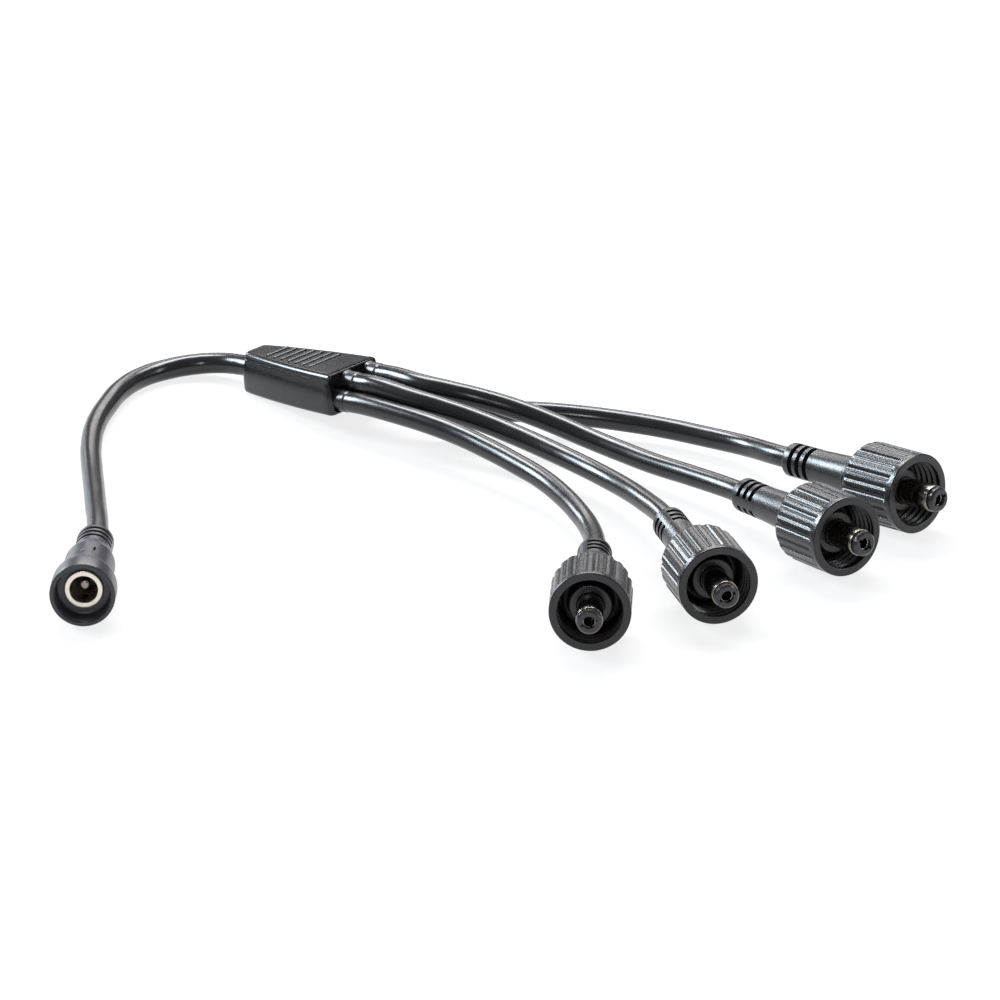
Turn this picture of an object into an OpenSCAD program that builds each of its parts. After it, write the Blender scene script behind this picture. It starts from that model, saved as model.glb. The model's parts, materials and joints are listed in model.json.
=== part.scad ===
// One-to-four low voltage splitter lead: a round socket on a main lead, a moulded
// splitter block, and four short leads that each end in a barrel plug with a coupling nut.
// Every connector is built along its own +Z axis, from its cable end to its mating end,
// and is then laid on the ground plane z = 0.

/* [Barrel contact] */
// Outside diameter of the barrel that enters a socket
barrel_od = 5.5; // [5.2:0.1:5.8]
// Wall of the barrel sleeve
barrel_wall = 0.45; // [0.3:0.05:0.6]
// Hole in the plug's tip, which is also the socket's centre pin diameter
pin_d = 2.1; // [1.9:0.1:2.5]
// Wall of the forked centre contact
contact_wall = 0.45; // [0.3:0.05:0.5]
// How far the barrel and its tip stand out of the plug body
barrel_out = 10; // [9:0.5:12]
// Length of the insulating tip in front of the sleeve
tip_head = 1.2; // [0.9:0.1:1.6]

/* [Plug body] */
// Length of the moulded plug body
body_len = 32; // [30:0.5:38]
// Outside diameter of the strain relief at the cable end
relief_d = 7.1; // [6.8:0.1:8]
// Diameter of the body just behind the collar step
body_d = 7.9; // [7.6:0.1:8.6]
// Diameter of the neck that the nut turns on
neck_d = 8.5; // [8:0.1:9]
// Diameter of the flange that keeps the nut on
flange_d = 11.8; // [10.6:0.1:12]
// Thickness of that flange
flange_t = 3; // [2:0.25:4]
// Diameter of the boss in front of the flange
boss_d = 8.8; // [8:0.1:9.6]
// Distance from the flange's back to the body's front face
flange_back = 7.5; // [6.5:0.25:8]
// Cord diameter of the seal ring on the boss
seal_cord = 1.5; // [1:0.1:1.5]

/* [Coupling nut] */
// Outside diameter of the nut
nut_od = 16.6; // [16:0.1:19]
// Length of the nut
nut_len = 14.5; // [13:0.5:17]
// Bore of the nut's mouth
nut_bore = 12.9; // [12.7:0.1:13.4]
// Thickness of the lip at the nut's back
nut_lip = 3; // [2:0.25:3.5]
// Pitch of the internal thread
thread_pitch = 1.5; // [1:0.25:2]
// Depth of the internal thread
thread_depth = 0.45; // [0.3:0.05:0.6]
// Number of thread turns
thread_turns = 5; // [3:1:6]
// Number of deep grip grooves
groove_count = 12; // [8:1:16]
// Depth of a deep grip groove
groove_deep = 0.6; // [0.3:0.05:0.7]
// Depth of a shallow grip groove
groove_shallow = 0.25; // [0.1:0.05:0.4]
// Length of the plain rim in front of the grooves
nut_rim = 1.3; // [0.8:0.1:3]

/* [Socket] */
// Length of the moulded socket
socket_len = 32.5; // [31:0.5:38]
// Diameter of the front collar
collar_d = 13.3; // [12.8:0.1:15]
// Length of the front collar
collar_len = 7; // [6:0.25:9]
// Wall of the cup in the collar
cup_wall = 0.9; // [0.6:0.1:1.2]
// Depth of the cup floor below the rim
cup_depth = 4; // [3:0.25:5]
// Depth of the metal shell's face below the rim
shell_back = 3.4; // [3:0.1:3.7]
// Outside diameter of the metal shell
shell_od = 7.9; // [7.6:0.1:8.4]
// Running clearance between the barrel and the shell, on the radius
shell_gap = 0.05; // [0.05:0.05:0.2]
// Diameter of the body behind the collar
socket_body_d = 10.3; // [9.8:0.1:11.5]
// Outside diameter of the socket's strain relief
socket_relief_d = 7.6; // [7.2:0.1:8.4]
// Free length of the centre pin
pin_free = 6.4; // [5:0.2:8]

/* [Strain relief] */
// Distance between two slots
slot_pitch = 2.1; // [1.8:0.1:2.4]
// Width of a slot
slot_w = 1.1; // [0.7:0.1:1.3]
// Number of slots
slot_count = 3; // [2:1:3]
// Width of the two webs that bridge a slot
web_w = 2; // [1.2:0.1:3]

/* [Leads] */
// Outside diameter of every lead
cable_d = 4.4; // [4:0.1:4.5]
// Outside diameter of an insulated core
core_d = 1.2; // [0.9:0.1:1.3]

/* [Splitter block] */
// Length of the block
block_len = 30.5; // [28:0.5:34]
// Width at the end with four leads
wide_w = 16.4; // [16.2:0.2:20]
// Width at the end with one lead
narrow_w = 7.6; // [7:0.2:10]
// Height of the block
block_h = 8.8; // [8.8:0.2:12]
// Wall of the block's cover
cover_wall = 0.5; // [0.4:0.05:0.5]
// Depth of the recess round the four leads
recess = 1.5; // [1:0.25:2.5]
// Length of the four cable boots in front of the recess floor
boot_len = 4; // [3:0.5:8]
// Wall of a cable boot
boot_wall = 0.1; // [0.1:0.05:0.1]
// Side step from lead to lead
lead_step = 3.3; // [3.3:0.1:3.4]
// Height step between neighbouring leads
lead_rise = 3.1; // [3.1:0.05:3.15]
// Number of grip ridges on top
ridge_count = 7; // [3:1:7]
// Distance between two grip ridges
ridge_pitch = 2.3; // [1.8:0.1:2.3]
// Height of a grip ridge
ridge_h = 0.35; // [0.2:0.05:0.6]

/* [Hidden] */
$fn = 48;

eps = 0.01;
// Clearance between a piece and the pocket that it sits in
seat = 0.02;
// Clearance between a lead and its hole, on the radius
cable_gap = 0.05;
// Clearance of the nut on its neck and behind its flange
nut_gap = 0.3;

// Where the four nuts stand: x, y of the nut's middle, heading, upward tilt,
// roll of the strain relief's webs, roll of the barrel and its tip slot
PLUGS = [
    [59.2, -13, -49.5, 4, -50, -67],
    [67, 13.5, -32, 1.5, -55, -65],
    [69.9, 46, -13, 5, 0, 52],
    [65.7, 71.3, -3, 4.8, 60, -67]];
// Where the socket's rim stands: x, y, heading, upward tilt
SOCKET = [-19.8, -77.2, -50.5, 3.5];
// Where the bottom edge of the block's narrow end stands: x, y, upward tilt
BLOCK = [-81.5, 37.5, 7.5];

// Places along a plug, from its cable end
flange_z = body_len - flange_back;
nut_z = flange_z - nut_gap - nut_lip;
nut_mid = nut_z + nut_len / 2;
tip_z = body_len + barrel_out;
sleeve_z = tip_z - tip_head - 0.3;
sleeve_root = body_len - 7;
contact_root = body_len - 6;
// The sleeve's shoulder, which stands in the moulded body's front
shoulder_step = 0.2;
jacket_z = 12;
premould_front = body_len - 4;
premould_d = barrel_od + 0.7;
tail_z = jacket_z + 8;
plug_core_len = body_len - jacket_z - 14;
socket_jacket_z = 10;
socket_tail_z = socket_jacket_z + 1.5;
socket_core_len = 4;
shell_z = 15;
shell_face = socket_len - shell_back;
shell_bore = barrel_od + 2 * shell_gap;
socket_premould_d = shell_bore + 1;
pin_base = 20;
pin_root = pin_base - 4.5;
spring_slot_w = 2.4;
spring_len = 8.5;

// Places of the two cores beside the flat tails that they are soldered to
tail_t = 0.4;
tail_w = 1.2;
contact_tail = -0.3;
sleeve_tail = barrel_od / 2 - barrel_wall - 0.2;
contact_core = contact_tail - core_d / 2;
sleeve_core = sleeve_tail - core_d / 2;

// The columns of PLUGS that hold a roll
relief_roll = 4;
barrel_roll = 5;

// Lead positions in the block, across and up
lead_y = [for (i = [0:3]) (i - 1.5) * lead_step];
lead_z = [for (i = [0:3]) block_h / 2 + (i % 2 == 0 ? -1 : 1) * lead_rise / 2];
boot_z = block_len - recess + boot_len;
// Depth that the jackets reach back from the ends of the boots and from the narrow end
jacket_in = 5.5;
main_in = 5.8;

// The two splices: diameter, both ends, distance above and below the block's middle
splice_d = 3;
splice_x = [11, 16.5];
splice_off = 1.9;
// Spread of the cores where they enter a splice and where they leave a jacket
splice_spread = 0.65;
core_off = 0.8;

// The hole of the block that each branch lead leaves by: lead 3 crosses over lead 4
LEAD_HOLE = [0, 1, 3, 2];
// Hand-set middle points of the four branch leads and of the main lead
BRANCH = [
    [[-36, 33, 8], [-28, 33.5, 8], [-19.5, 34, 7.5], [-11, 33.5, 7], [-2.5, 32.5, 6.5],
     [6, 31, 6], [14.5, 28, 5.6], [22.5, 24, 5.4], [29.5, 19.5, 5.5]],
    [[-36, 37, 10.3], [-28, 39, 9.5], [-20, 41, 8.4], [-11.5, 42.4, 7.2], [-3, 43, 6.2],
     [5.5, 42.6, 5.7], [14, 41.2, 5.6], [22.5, 38.7, 6], [30.5, 35.3, 6.7]],
    [[-38, 42.3, 11.2], [-31, 44.5, 10.8], [-24.5, 47.8, 9.7], [-17.5, 51, 8.2], [-10, 53, 6.8],
     [-2, 54.2, 5.6], [6.5, 54.6, 5], [15.5, 54.6, 4.8], [25.5, 54.4, 5.2]],
    [[-38, 40.5, 6.3], [-31.5, 45.2, 6], [-26, 51.7, 5.6], [-20.5, 58, 5.1], [-14, 63.3, 4.6],
     [-6, 68, 4.2], [3, 71.7, 4], [12.5, 74, 4], [22.5, 75, 4.5]]];
MAIN = [
    [-90, 36.6, 3.3], [-95, 33.2, 2.6], [-98, 28, 2.2], [-98.8, 21.5, 2.2], [-97.3, 14, 2.2],
    [-93.5, 5.8, 2.2], [-87.7, -3.8, 2.2], [-80, -13, 2.2], [-71.5, -21.4, 2.4],
    [-63, -29.5, 3], [-55, -37.2, 3.7], [-48.6, -43.3, 4.4]];

// A point on a connector's axis at length z from its cable end
function heading(h, t) = [cos(t) * cos(h), cos(t) * sin(h), sin(t)];
function nut_height(t) = nut_od / 2 * cos(t) + (nut_len / 2 - 1.2) * abs(sin(t));
function plug_point(p, z) =
    [p[0], p[1], nut_height(p[3])] + (z - nut_mid) * heading(p[2], p[3]);
function socket_point(z) =
    [SOCKET[0], SOCKET[1], collar_d / 2 * cos(SOCKET[3]) + collar_len * max(0, sin(SOCKET[3]))]
    + (z - socket_len) * heading(SOCKET[2], SOCKET[3]);
// A point of the block, from its own length, width and height to the ground frame
function block_point(x, y, z) = [
    BLOCK[0] + x * cos(BLOCK[2]) - z * sin(BLOCK[2]),
    BLOCK[1] + y,
    x * sin(BLOCK[2]) + z * cos(BLOCK[2])];

// The whole route of each lead, straight at both ends and a little way inside them
function branch_route(i) = concat(
    [for (x = [boot_z - jacket_in, boot_z, boot_z + 4])
        block_point(x, lead_y[LEAD_HOLE[i]], lead_z[LEAD_HOLE[i]])],
    BRANCH[i],
    [for (z = [-4, 0, jacket_z - 0.2]) plug_point(PLUGS[i], z)]);
function main_route() = concat(
    [for (x = [main_in, 0, -3]) block_point(x, 0, block_h / 2)],
    MAIN,
    [for (z = [-4, 0, socket_jacket_z - 0.2]) socket_point(z)]);

function unit(v) = v / norm(v);
// Corner points of a plan outline's rounded corner
function arc(cx, cy, r, from, to, n) =
    [for (k = [0:n]) let (a = from + (to - from) * k / n) [cx + r * cos(a), cy + r * sin(a)]];

// A round tube along a route, as one closed solid
module cord(route, sides = 10) {
    last = len(route) - 1;
    rings = [for (i = [0:last])
        let (t = unit(route[min(i + 1, last)] - route[max(i - 1, 0)]),
             s = unit(cross([0, 0, 1], t)),
             u = cross(t, s))
        for (k = [0:sides - 1])
            route[i] + cable_d / 2 * (cos(360 * k / sides) * s + sin(360 * k / sides) * u)];
    walls = [for (i = [0:last - 1], k = [0:sides - 1])
        let (a = i * sides + k, b = i * sides + (k + 1) % sides)
        for (f = [[a, a + sides, b], [b, a + sides, b + sides]]) f];
    start = [[for (k = [0:sides - 1]) k]];
    end = [[for (k = [sides - 1:-1:0]) last * sides + k]];
    polyhedron(points = rings, faces = concat(walls, start, end));
}

// Lays a plug, the socket or the block where it stands
module on_plug(i, roll = barrel_roll) {
    p = PLUGS[i - 1];
    translate(plug_point(p, 0)) rotate([0, 90 - p[3], p[2]]) rotate([0, 0, p[roll]]) children();
}
module on_socket() {
    translate(socket_point(0)) rotate([0, 90 - SOCKET[3], SOCKET[2]]) children();
}
module on_block() {
    translate([BLOCK[0], BLOCK[1], 0]) rotate([0, -BLOCK[2], 0]) children();
}

module tube(od, id, from, to) {
    translate([0, 0, from]) difference() {
        cylinder(d = od, h = to - from);
        translate([0, 0, -eps]) cylinder(d = id, h = to - from + 2 * eps);
    }
}
// A hole that runs a little past both its ends
module hole(d, from, to) {
    translate([0, 0, from]) cylinder(d = d, h = to - from);
}
// A flat solder tail beside the axis
module tail(x, from, to, gap = 0) {
    translate([x - gap, -tail_w / 2 - gap, from])
        cube([tail_t + 2 * gap, tail_w + 2 * gap, to - from]);
}
// The slots that let a strain relief bend, each bridged by two webs
module relief_slots(d) {
    for (k = [0:slot_count - 1]) translate([0, 0, 1.9 + k * slot_pitch]) difference() {
        tube(d + 2, cable_d + 0.5, 0, slot_w);
        translate([-web_w / 2, -d, -1]) cube([web_w, 2 * d, slot_w + 2]);
    }
}

// ---- the coupling nut ----
module groove(depth, width) {
    translate([nut_od / 2 + width / 2 - depth, 0]) circle(d = width);
}
module nut_outline() {
    difference() {
        circle(d = nut_od);
        for (k = [0:groove_count - 1]) rotate(k * 360 / groove_count) {
            groove(groove_deep, 1.6);
            rotate(180 / groove_count) groove(groove_shallow, 1.6);
        }
    }
}
module coupling_nut() {
    r = nut_od / 2;
    thread_r = nut_bore / 2;
    shoulder = [for (a = [0:15:90]) [r - 2.4 + 2.4 * sin(a), 2.4 - 2.4 * cos(a)]];
    color("#2b2b2f") difference() {
        union() {
            intersection() {
                linear_extrude(nut_len - nut_rim) nut_outline();
                rotate_extrude() polygon(concat([[0, 0]], shoulder, [[r, nut_len], [0, nut_len]]));
            }
            translate([0, 0, nut_len - nut_rim]) rotate_extrude()
                polygon([[0, 0], [r, 0], [r, nut_rim - 0.3], [r - 0.3, nut_rim], [0, nut_rim]]);
        }
        hole(neck_d + 2 * nut_gap, -1, nut_lip + eps);
        hole(nut_bore, nut_lip, nut_len + 1);
        for (k = [1:thread_turns]) translate([0, 0, nut_len - 0.4 - k * thread_pitch])
            rotate_extrude() polygon([
                [thread_r - 1, 0], [thread_r - eps, 0], [thread_r + thread_depth, thread_pitch * 0.35],
                [thread_r + thread_depth, thread_pitch * 0.45],
                [thread_r - eps, thread_pitch * 0.8], [thread_r - 1, thread_pitch * 0.8]]);
    }
}

// ---- the plug ----
module plug_body() {
    r = relief_d / 2;
    step_z = nut_z - 3.7;
    color("#2b2b2f") difference() {
        rotate_extrude() polygon(concat(
            [[0, 0]],
            [for (a = [0:15:90]) [r - 0.9 + 0.9 * sin(a), 0.9 - 0.9 * cos(a)]],
            [[r, 8.6], [body_d / 2, step_z], [neck_d / 2, step_z + 0.3],
             [neck_d / 2, step_z + 1.1], [neck_d / 2 - 0.15, step_z + 1.2],
             [neck_d / 2 - 0.15, step_z + 1.4], [neck_d / 2, step_z + 1.5],
             [neck_d / 2, flange_z], [flange_d / 2 - 0.3, flange_z], [flange_d / 2, flange_z + 0.3],
             [flange_d / 2, flange_z + flange_t], [boss_d / 2, flange_z + flange_t],
             [boss_d / 2, body_len - 0.3], [boss_d / 2 - 0.3, body_len], [0, body_len]]));
        hole(cable_d + 2 * cable_gap, -1, jacket_z + eps);
        hole(premould_d, jacket_z, premould_front);
        hole(barrel_od + 2 * shoulder_step + 2 * seat, premould_front - eps, body_len + 1);
        relief_slots(relief_d);
    }
}
module barrel_sleeve() {
    r = barrel_od / 2;
    color("#c9c6c2") union() {
        difference() {
            rotate_extrude() polygon([
                [0, sleeve_root], [r, sleeve_root], [r, premould_front + seat],
                [r + shoulder_step, premould_front + seat], [r + shoulder_step, body_len],
                [r, body_len], [r, sleeve_z - 0.5], [r - 0.1, sleeve_z - 0.15],
                [r - 0.25, sleeve_z], [0, sleeve_z]]);
            hole(barrel_od - 2 * barrel_wall, sleeve_root - 1, sleeve_z + 1);
        }
        tail(sleeve_tail, tail_z, sleeve_root + 1);
    }
}
module tip_insulator() {
    head_z = tip_z - tip_head;
    r = barrel_od / 2 - 0.2;
    color("#1d1d1f") difference() {
        union() {
            hole(barrel_od - 2 * barrel_wall - 2 * seat, premould_front, head_z + eps);
            translate([0, 0, head_z]) rotate_extrude() polygon([
                [0, 0], [r, 0], [r, tip_head - 0.45], [r - 0.45, tip_head], [0, tip_head]]);
        }
        hole(pin_d + 2 * contact_wall + 2 * seat, 0, head_z + 0.5);
        hole(pin_d + 0.4, head_z, tip_z + 1);
        translate([-barrel_od, -0.35, head_z + 0.5]) cube([2 * barrel_od, 0.7, tip_head]);
    }
}
module centre_contact() {
    color("#cfc7b0") difference() {
        union() {
            hole(pin_d + 2 * contact_wall, contact_root, tip_z - tip_head + 0.4);
            tail(contact_tail, tail_z, contact_root + 1);
        }
        hole(pin_d, body_len, tip_z);
        translate([-0.25, -barrel_od, tip_z - 5]) cube([0.5, 2 * barrel_od, 5]);
    }
}
module seal_ring() {
    color("#3a3a3d") translate([0, 0, flange_z + flange_t + seal_cord / 2 + seat])
        rotate_extrude() translate([boss_d / 2 + seal_cord / 2 + seat, 0]) circle(d = seal_cord, $fn = 32);
}
module plug_premould() {
    color("#e8e4d8") difference() {
        hole(premould_d - 2 * seat, jacket_z + seat, premould_front - seat);
        hole(barrel_od + 2 * seat, sleeve_root - seat, body_len);
        tail(sleeve_tail, tail_z, sleeve_root + 1, seat);
        tail(contact_tail, tail_z, contact_root + 1, seat);
        translate([0, 0, jacket_z]) core_pair(core_d + 2 * seat, plug_core_len + seat);
    }
}
module core_pair(d, length) {
    translate([contact_core, 0, 0]) cylinder(d = d, h = length);
    translate([sleeve_core, 0, 0]) cylinder(d = d, h = length);
}
module plug_cores() {
    color("#a33a2e") translate([0, 0, jacket_z]) core_pair(core_d, plug_core_len);
}

// ---- the socket ----
module socket_body() {
    r = socket_relief_d / 2;
    b = socket_body_d / 2;
    c = collar_d / 2;
    collar_z = socket_len - collar_len;
    color("#35353c") difference() {
        rotate_extrude() polygon(concat(
            [[0, 0]],
            [for (a = [0:15:90]) [r - 1 + sin(a), 1 - cos(a)]],
            [[r, 8.6], [b - 0.4, 12.5], [b, 15], [b, collar_z - 2.5]],
            [for (a = [0:15:90]) [b + (c - b) * (1 - cos(2 * a)) / 2, collar_z + a / 30 - 2]],
            [[c, socket_len - 0.3], [c - 0.2, socket_len], [0, socket_len]]));
        hole(collar_d - 2 * cup_wall, socket_len - cup_depth, socket_len + 1);
        hole(cable_d + 2 * cable_gap, -1, socket_jacket_z + eps);
        hole(socket_premould_d, socket_jacket_z, shell_z);
        hole(shell_od + 2 * seat, shell_z - eps, socket_len);
        relief_slots(socket_relief_d);
        // index mark beside the top
        rotate([0, 0, 165]) translate([b - 0.3, -0.2, collar_z - 8]) cube([1, 0.4, 5.2]);
    }
    // raised dot beside the mark
    color("#35353c") rotate([0, 0, 190]) translate([b - 0.4, 0, collar_z - 5.5])
        rotate([0, 90, 0]) cylinder(d = 0.8, h = 0.6);
}
module socket_shell() {
    color("#cfc7c0") difference() {
        tube(shell_od, shell_bore, shell_z + seat, shell_face);
        translate([0, -spring_slot_w / 2, pin_base]) cube([shell_od, spring_slot_w, spring_len]);
    }
}
module socket_pin() {
    r = pin_d / 2;
    color("#cfc7c0") union() {
        rotate_extrude() polygon([
            [0, pin_root], [r + 0.2, pin_root], [r + 0.2, pin_base], [r, pin_base],
            [r, pin_base + pin_free - 0.5], [r - 0.2, pin_base + pin_free - 0.12],
            [r - 0.5, pin_base + pin_free], [0, pin_base + pin_free]]);
        tail(contact_tail, socket_tail_z, pin_root + 0.5);
    }
}
module spring_outline() {
    inner = shell_bore / 2;
    polygon([
        [sleeve_tail, socket_tail_z], [sleeve_tail + tail_t, socket_tail_z],
        [sleeve_tail + tail_t, pin_base + 0.3], [inner + 0.5, pin_base + 1.8], [inner + 0.15, pin_base + 5],
        [inner + 0.5, pin_base + 8], [inner + 0.2, pin_base + 8], [inner - 0.15, pin_base + 5],
        [inner + 0.2, pin_base + 1.9], [sleeve_tail, pin_base + 0.5]]);
}
module socket_spring() {
    color("#b98d4a") rotate([90, 0, 0]) translate([0, 0, -tail_w / 2])
        linear_extrude(tail_w) spring_outline();
}
module socket_premould() {
    color("#e8e4d8") difference() {
        union() {
            hole(socket_premould_d - 2 * seat, socket_jacket_z + seat, shell_z);
            hole(shell_bore - 2 * seat, shell_z - eps, pin_base);
        }
        hole(pin_d + 0.4 + 2 * seat, pin_root - seat, pin_base + 1);
        tail(contact_tail, socket_tail_z, pin_root + 0.5, seat);
        tail(sleeve_tail, socket_tail_z, pin_base + 1, seat);
        translate([0, 0, socket_jacket_z]) core_pair(core_d + 2 * seat, socket_core_len + seat);
    }
}
module socket_cores() {
    color("#a33a2e") translate([0, 0, socket_jacket_z]) core_pair(core_d, socket_core_len);
}

// ---- the splitter block ----
// Plan outline, narrow end at x = 0, inset all round by g except at the wide end
module block_plan(g, length, corner = 1.6) {
    n = narrow_w / 2 - g;
    w = wide_w / 2 - g;
    c = max(corner - g, 0.3);
    nose = 2.6;
    half = concat(
        arc(g + nose, n - nose + 0.6, nose, 180, 105, 6),
        [[length * 0.5, (n + w) / 2 + 0.7]],
        arc(length - c, w - c, c, 75, 0, 5));
    polygon(concat(half, [for (k = [len(half) - 1:-1:0]) [half[k][0], -half[k][1]]]));
}
// The block's outer form, with its long edges broken all round
module block_form(g, length, edge = 0.6) {
    hull() {
        translate([0, 0, g + edge]) linear_extrude(block_h - 2 * (g + edge)) block_plan(g, length);
        translate([0, 0, g]) linear_extrude(block_h - 2 * g) block_plan(g + edge, length - edge / 2);
    }
}
module lead_holes(d, from, to) {
    for (i = [0:3]) translate([from, lead_y[i], lead_z[i]]) rotate([0, 90, 0]) cylinder(d = d, h = to - from);
}
module main_hole(to) {
    translate([-1, 0, block_h / 2]) rotate([0, 90, 0]) cylinder(d = cable_d + 2 * cable_gap, h = to + 1);
}
module block_cover() {
    first = block_len / 2 - (ridge_count - 1) / 2 * ridge_pitch - 0.4;
    color("#2b2c31") difference() {
        union() {
            block_form(0, block_len);
            for (k = [0:ridge_count - 1]) {
                x = first + k * ridge_pitch;
                w = (narrow_w + (wide_w - narrow_w) * x / block_len) * 0.72;
                translate([x - 0.4, -w / 2, block_h - 0.3]) cube([0.8, w, ridge_h + 0.3]);
            }
        }
        block_form(cover_wall, block_len + 2, 0.2);
        main_hole(3);
    }
}
module block_premould() {
    color("#1f1f22") difference() {
        union() {
            intersection() {
                block_form(cover_wall + seat, block_len + 2, 0.2);
                translate([0, -wide_w, -1]) cube([block_len - recess, 2 * wide_w, block_h + 2]);
            }
            lead_holes(cable_d + 2 * boot_wall, block_len - recess - eps, boot_z);
        }
        lead_holes(cable_d + 2 * cable_gap, boot_z - jacket_in - 0.2, boot_z + 1);
        main_hole(main_in + 0.2);
        splice(1, seat);
        splice(-1, seat);
        core_fan(1, seat);
        core_fan(-1, seat);
    }
}
// A crimped splice sleeve, one above and one below the middle of the block
module splice(side, gap = 0) {
    translate([splice_x[0] - gap, 0, block_h / 2 + side * splice_off]) rotate([0, 90, 0])
        cylinder(d = splice_d + 2 * gap, h = splice_x[1] - splice_x[0] + 2 * gap);
}
module rod(p, q, d) {
    v = q - p;
    translate(p) rotate([0, acos(v[2] / norm(v)), atan2(v[1], v[0])]) cylinder(d = d, h = norm(v));
}
// The cores of one polarity, from the ends of the jackets to the splice
module core_fan(side, gap = 0) {
    d = core_d - 0.2 + 2 * gap;
    mid = block_h / 2;
    rod([main_in + 0.2, 0, mid + side * core_off], [splice_x[0] - 0.2, 0, mid + side * splice_off], d);
    for (i = [0:3]) {
        dy = (i < 2 ? -1 : 1) * splice_spread;
        dz = (i % 2 == 0 ? -1 : 1) * splice_spread;
        rod([boot_z - jacket_in - 0.3, lead_y[i], lead_z[i] + side * core_off],
            [splice_x[1] + 0.2, dy, mid + side * splice_off + dz], d);
    }
}

for (i = [1:4]) {
    on_plug(i) translate([0, 0, nut_z]) coupling_nut();
    on_plug(i, relief_roll) plug_body();
    on_plug(i) barrel_sleeve();
    on_plug(i) tip_insulator();
    on_plug(i) centre_contact();
    on_plug(i) seal_ring();
    on_plug(i) plug_premould();
    on_plug(i) plug_cores();
    color("#232326") cord(branch_route(i - 1));
}
on_socket() socket_body();
on_socket() socket_shell();
on_socket() socket_premould();
on_socket() socket_pin();
on_socket() socket_spring();
on_socket() socket_cores();
color("#232326") cord(main_route());  // main_lead
on_block() block_cover();
on_block() block_premould();
on_block() color("#b0a070") splice(1);  // splice_positive
on_block() color("#b0a070") splice(-1);  // splice_negative
on_block() color("#a33a2e") core_fan(1);  // cores_positive
on_block() color("#303030") core_fan(-1);  // cores_negative
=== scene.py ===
"""Finished looks of a one-to-four low voltage splitter lead, built around its packed frame.

Every connector is drawn in millimetres along its own +Z axis, from its cable end to its
mating end, and is then laid where the frame says.
"""
import json
import math

import bmesh
import bpy
from bpy.props import FloatProperty, FloatVectorProperty, IntProperty, PointerProperty
from bpy.types import Operator, Panel, PropertyGroup
from mathutils import Matrix, Vector


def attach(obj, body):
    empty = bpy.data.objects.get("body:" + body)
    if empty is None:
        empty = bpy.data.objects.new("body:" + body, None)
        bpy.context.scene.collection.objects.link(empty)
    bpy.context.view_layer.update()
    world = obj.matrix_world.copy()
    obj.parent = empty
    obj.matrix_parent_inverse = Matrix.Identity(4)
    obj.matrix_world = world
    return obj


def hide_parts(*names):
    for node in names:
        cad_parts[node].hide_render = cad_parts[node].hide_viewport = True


bl_info = {
    "name": "Splitter lead",
    "version": (1, 0, 0),
    "blender": (4, 5, 0),
    "location": "View3D > Sidebar > Splitter lead",
    "description": "Plugs, nuts, socket, block and leads of a splitter lead, around its frame",
    "category": "Object",
}

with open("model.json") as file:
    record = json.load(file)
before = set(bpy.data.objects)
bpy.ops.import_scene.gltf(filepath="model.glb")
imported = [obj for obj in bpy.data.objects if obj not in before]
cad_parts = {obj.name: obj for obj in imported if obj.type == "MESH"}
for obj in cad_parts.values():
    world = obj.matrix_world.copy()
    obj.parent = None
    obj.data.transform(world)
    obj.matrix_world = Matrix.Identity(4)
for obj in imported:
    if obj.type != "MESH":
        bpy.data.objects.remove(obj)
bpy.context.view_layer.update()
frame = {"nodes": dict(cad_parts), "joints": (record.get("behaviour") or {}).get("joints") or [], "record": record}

MM = 0.001
HARNESS = "harness"
PLUGS = (1, 2, 3, 4)
MOUNTS = {mount["name"]: mount for mount in frame["record"]["mounts"]}
JOINTS = {joint["name"]: joint for joint in frame["joints"]}
# How far each strain relief and each barrel is rolled about its plug's axis, in degrees
RELIEF_ROLL = {1: -50, 2: -55, 3: 0, 4: 60}
BARREL_ROLL = {1: -67, 2: -65, 3: 52, 4: -67}
# The hole of the block, counted across it, that each branch lead leaves by
LEAD_HOLE = {1: 0, 2: 1, 3: 3, 4: 2}
# Middle points of the four branch leads and of the main lead, in metres
BRANCH = {
    1: [(-.036, .033, .008), (-.028, .0335, .008), (-.0195, .034, .0075), (-.011, .0335, .007),
        (-.0025, .0325, .0065), (.006, .031, .006), (.0145, .028, .0056), (.0225, .024, .0054),
        (.0295, .0195, .0055)],
    2: [(-.036, .037, .0103), (-.028, .039, .0095), (-.02, .041, .0084), (-.0115, .0424, .0072),
        (-.003, .043, .0062), (.0055, .0426, .0057), (.014, .0412, .0056), (.0225, .0387, .006),
        (.0305, .0353, .0067)],
    3: [(-.038, .0423, .0112), (-.031, .0445, .0108), (-.0245, .0478, .0097), (-.0175, .051, .0082),
        (-.01, .053, .0068), (-.002, .0542, .0056), (.0065, .0546, .005), (.0155, .0546, .0048),
        (.0255, .0544, .0052)],
    4: [(-.038, .0405, .0063), (-.0315, .0452, .006), (-.026, .0517, .0056), (-.0205, .058, .0051),
        (-.014, .0633, .0046), (-.006, .068, .0042), (.003, .0717, .004), (.0125, .074, .004),
        (.0225, .075, .0045)],
}
MAIN = [(-.09, .0366, .0033), (-.095, .0332, .0026), (-.098, .028, .0022), (-.0988, .0215, .0022),
        (-.0973, .014, .0022), (-.0935, .0058, .0022), (-.0877, -.0038, .0022), (-.08, -.013, .0022),
        (-.0715, -.0214, .0024), (-.063, -.0295, .003), (-.055, -.0372, .0037),
        (-.0486, -.0433, .0044)]
# The real length of each lead's jacket, in metres, with what is inside the mouldings
LEAD_LENGTH = {1: .1151, 2: .1139, 3: .1123, 4: .1163, "main": .1383}
# Gap between a piece and its seat, and round a lead where it leaves a moulding, in millimetres
SEAT = 0.02
LEAD_GAP = 0.05
# How far a branch lead, or the main lead at the block, runs straight before it bends
STRAIGHT = 4
MAIN_STRAIGHT = 3
MATH = "ShaderNodeMath"


# ---- sizes and colours ----

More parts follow.
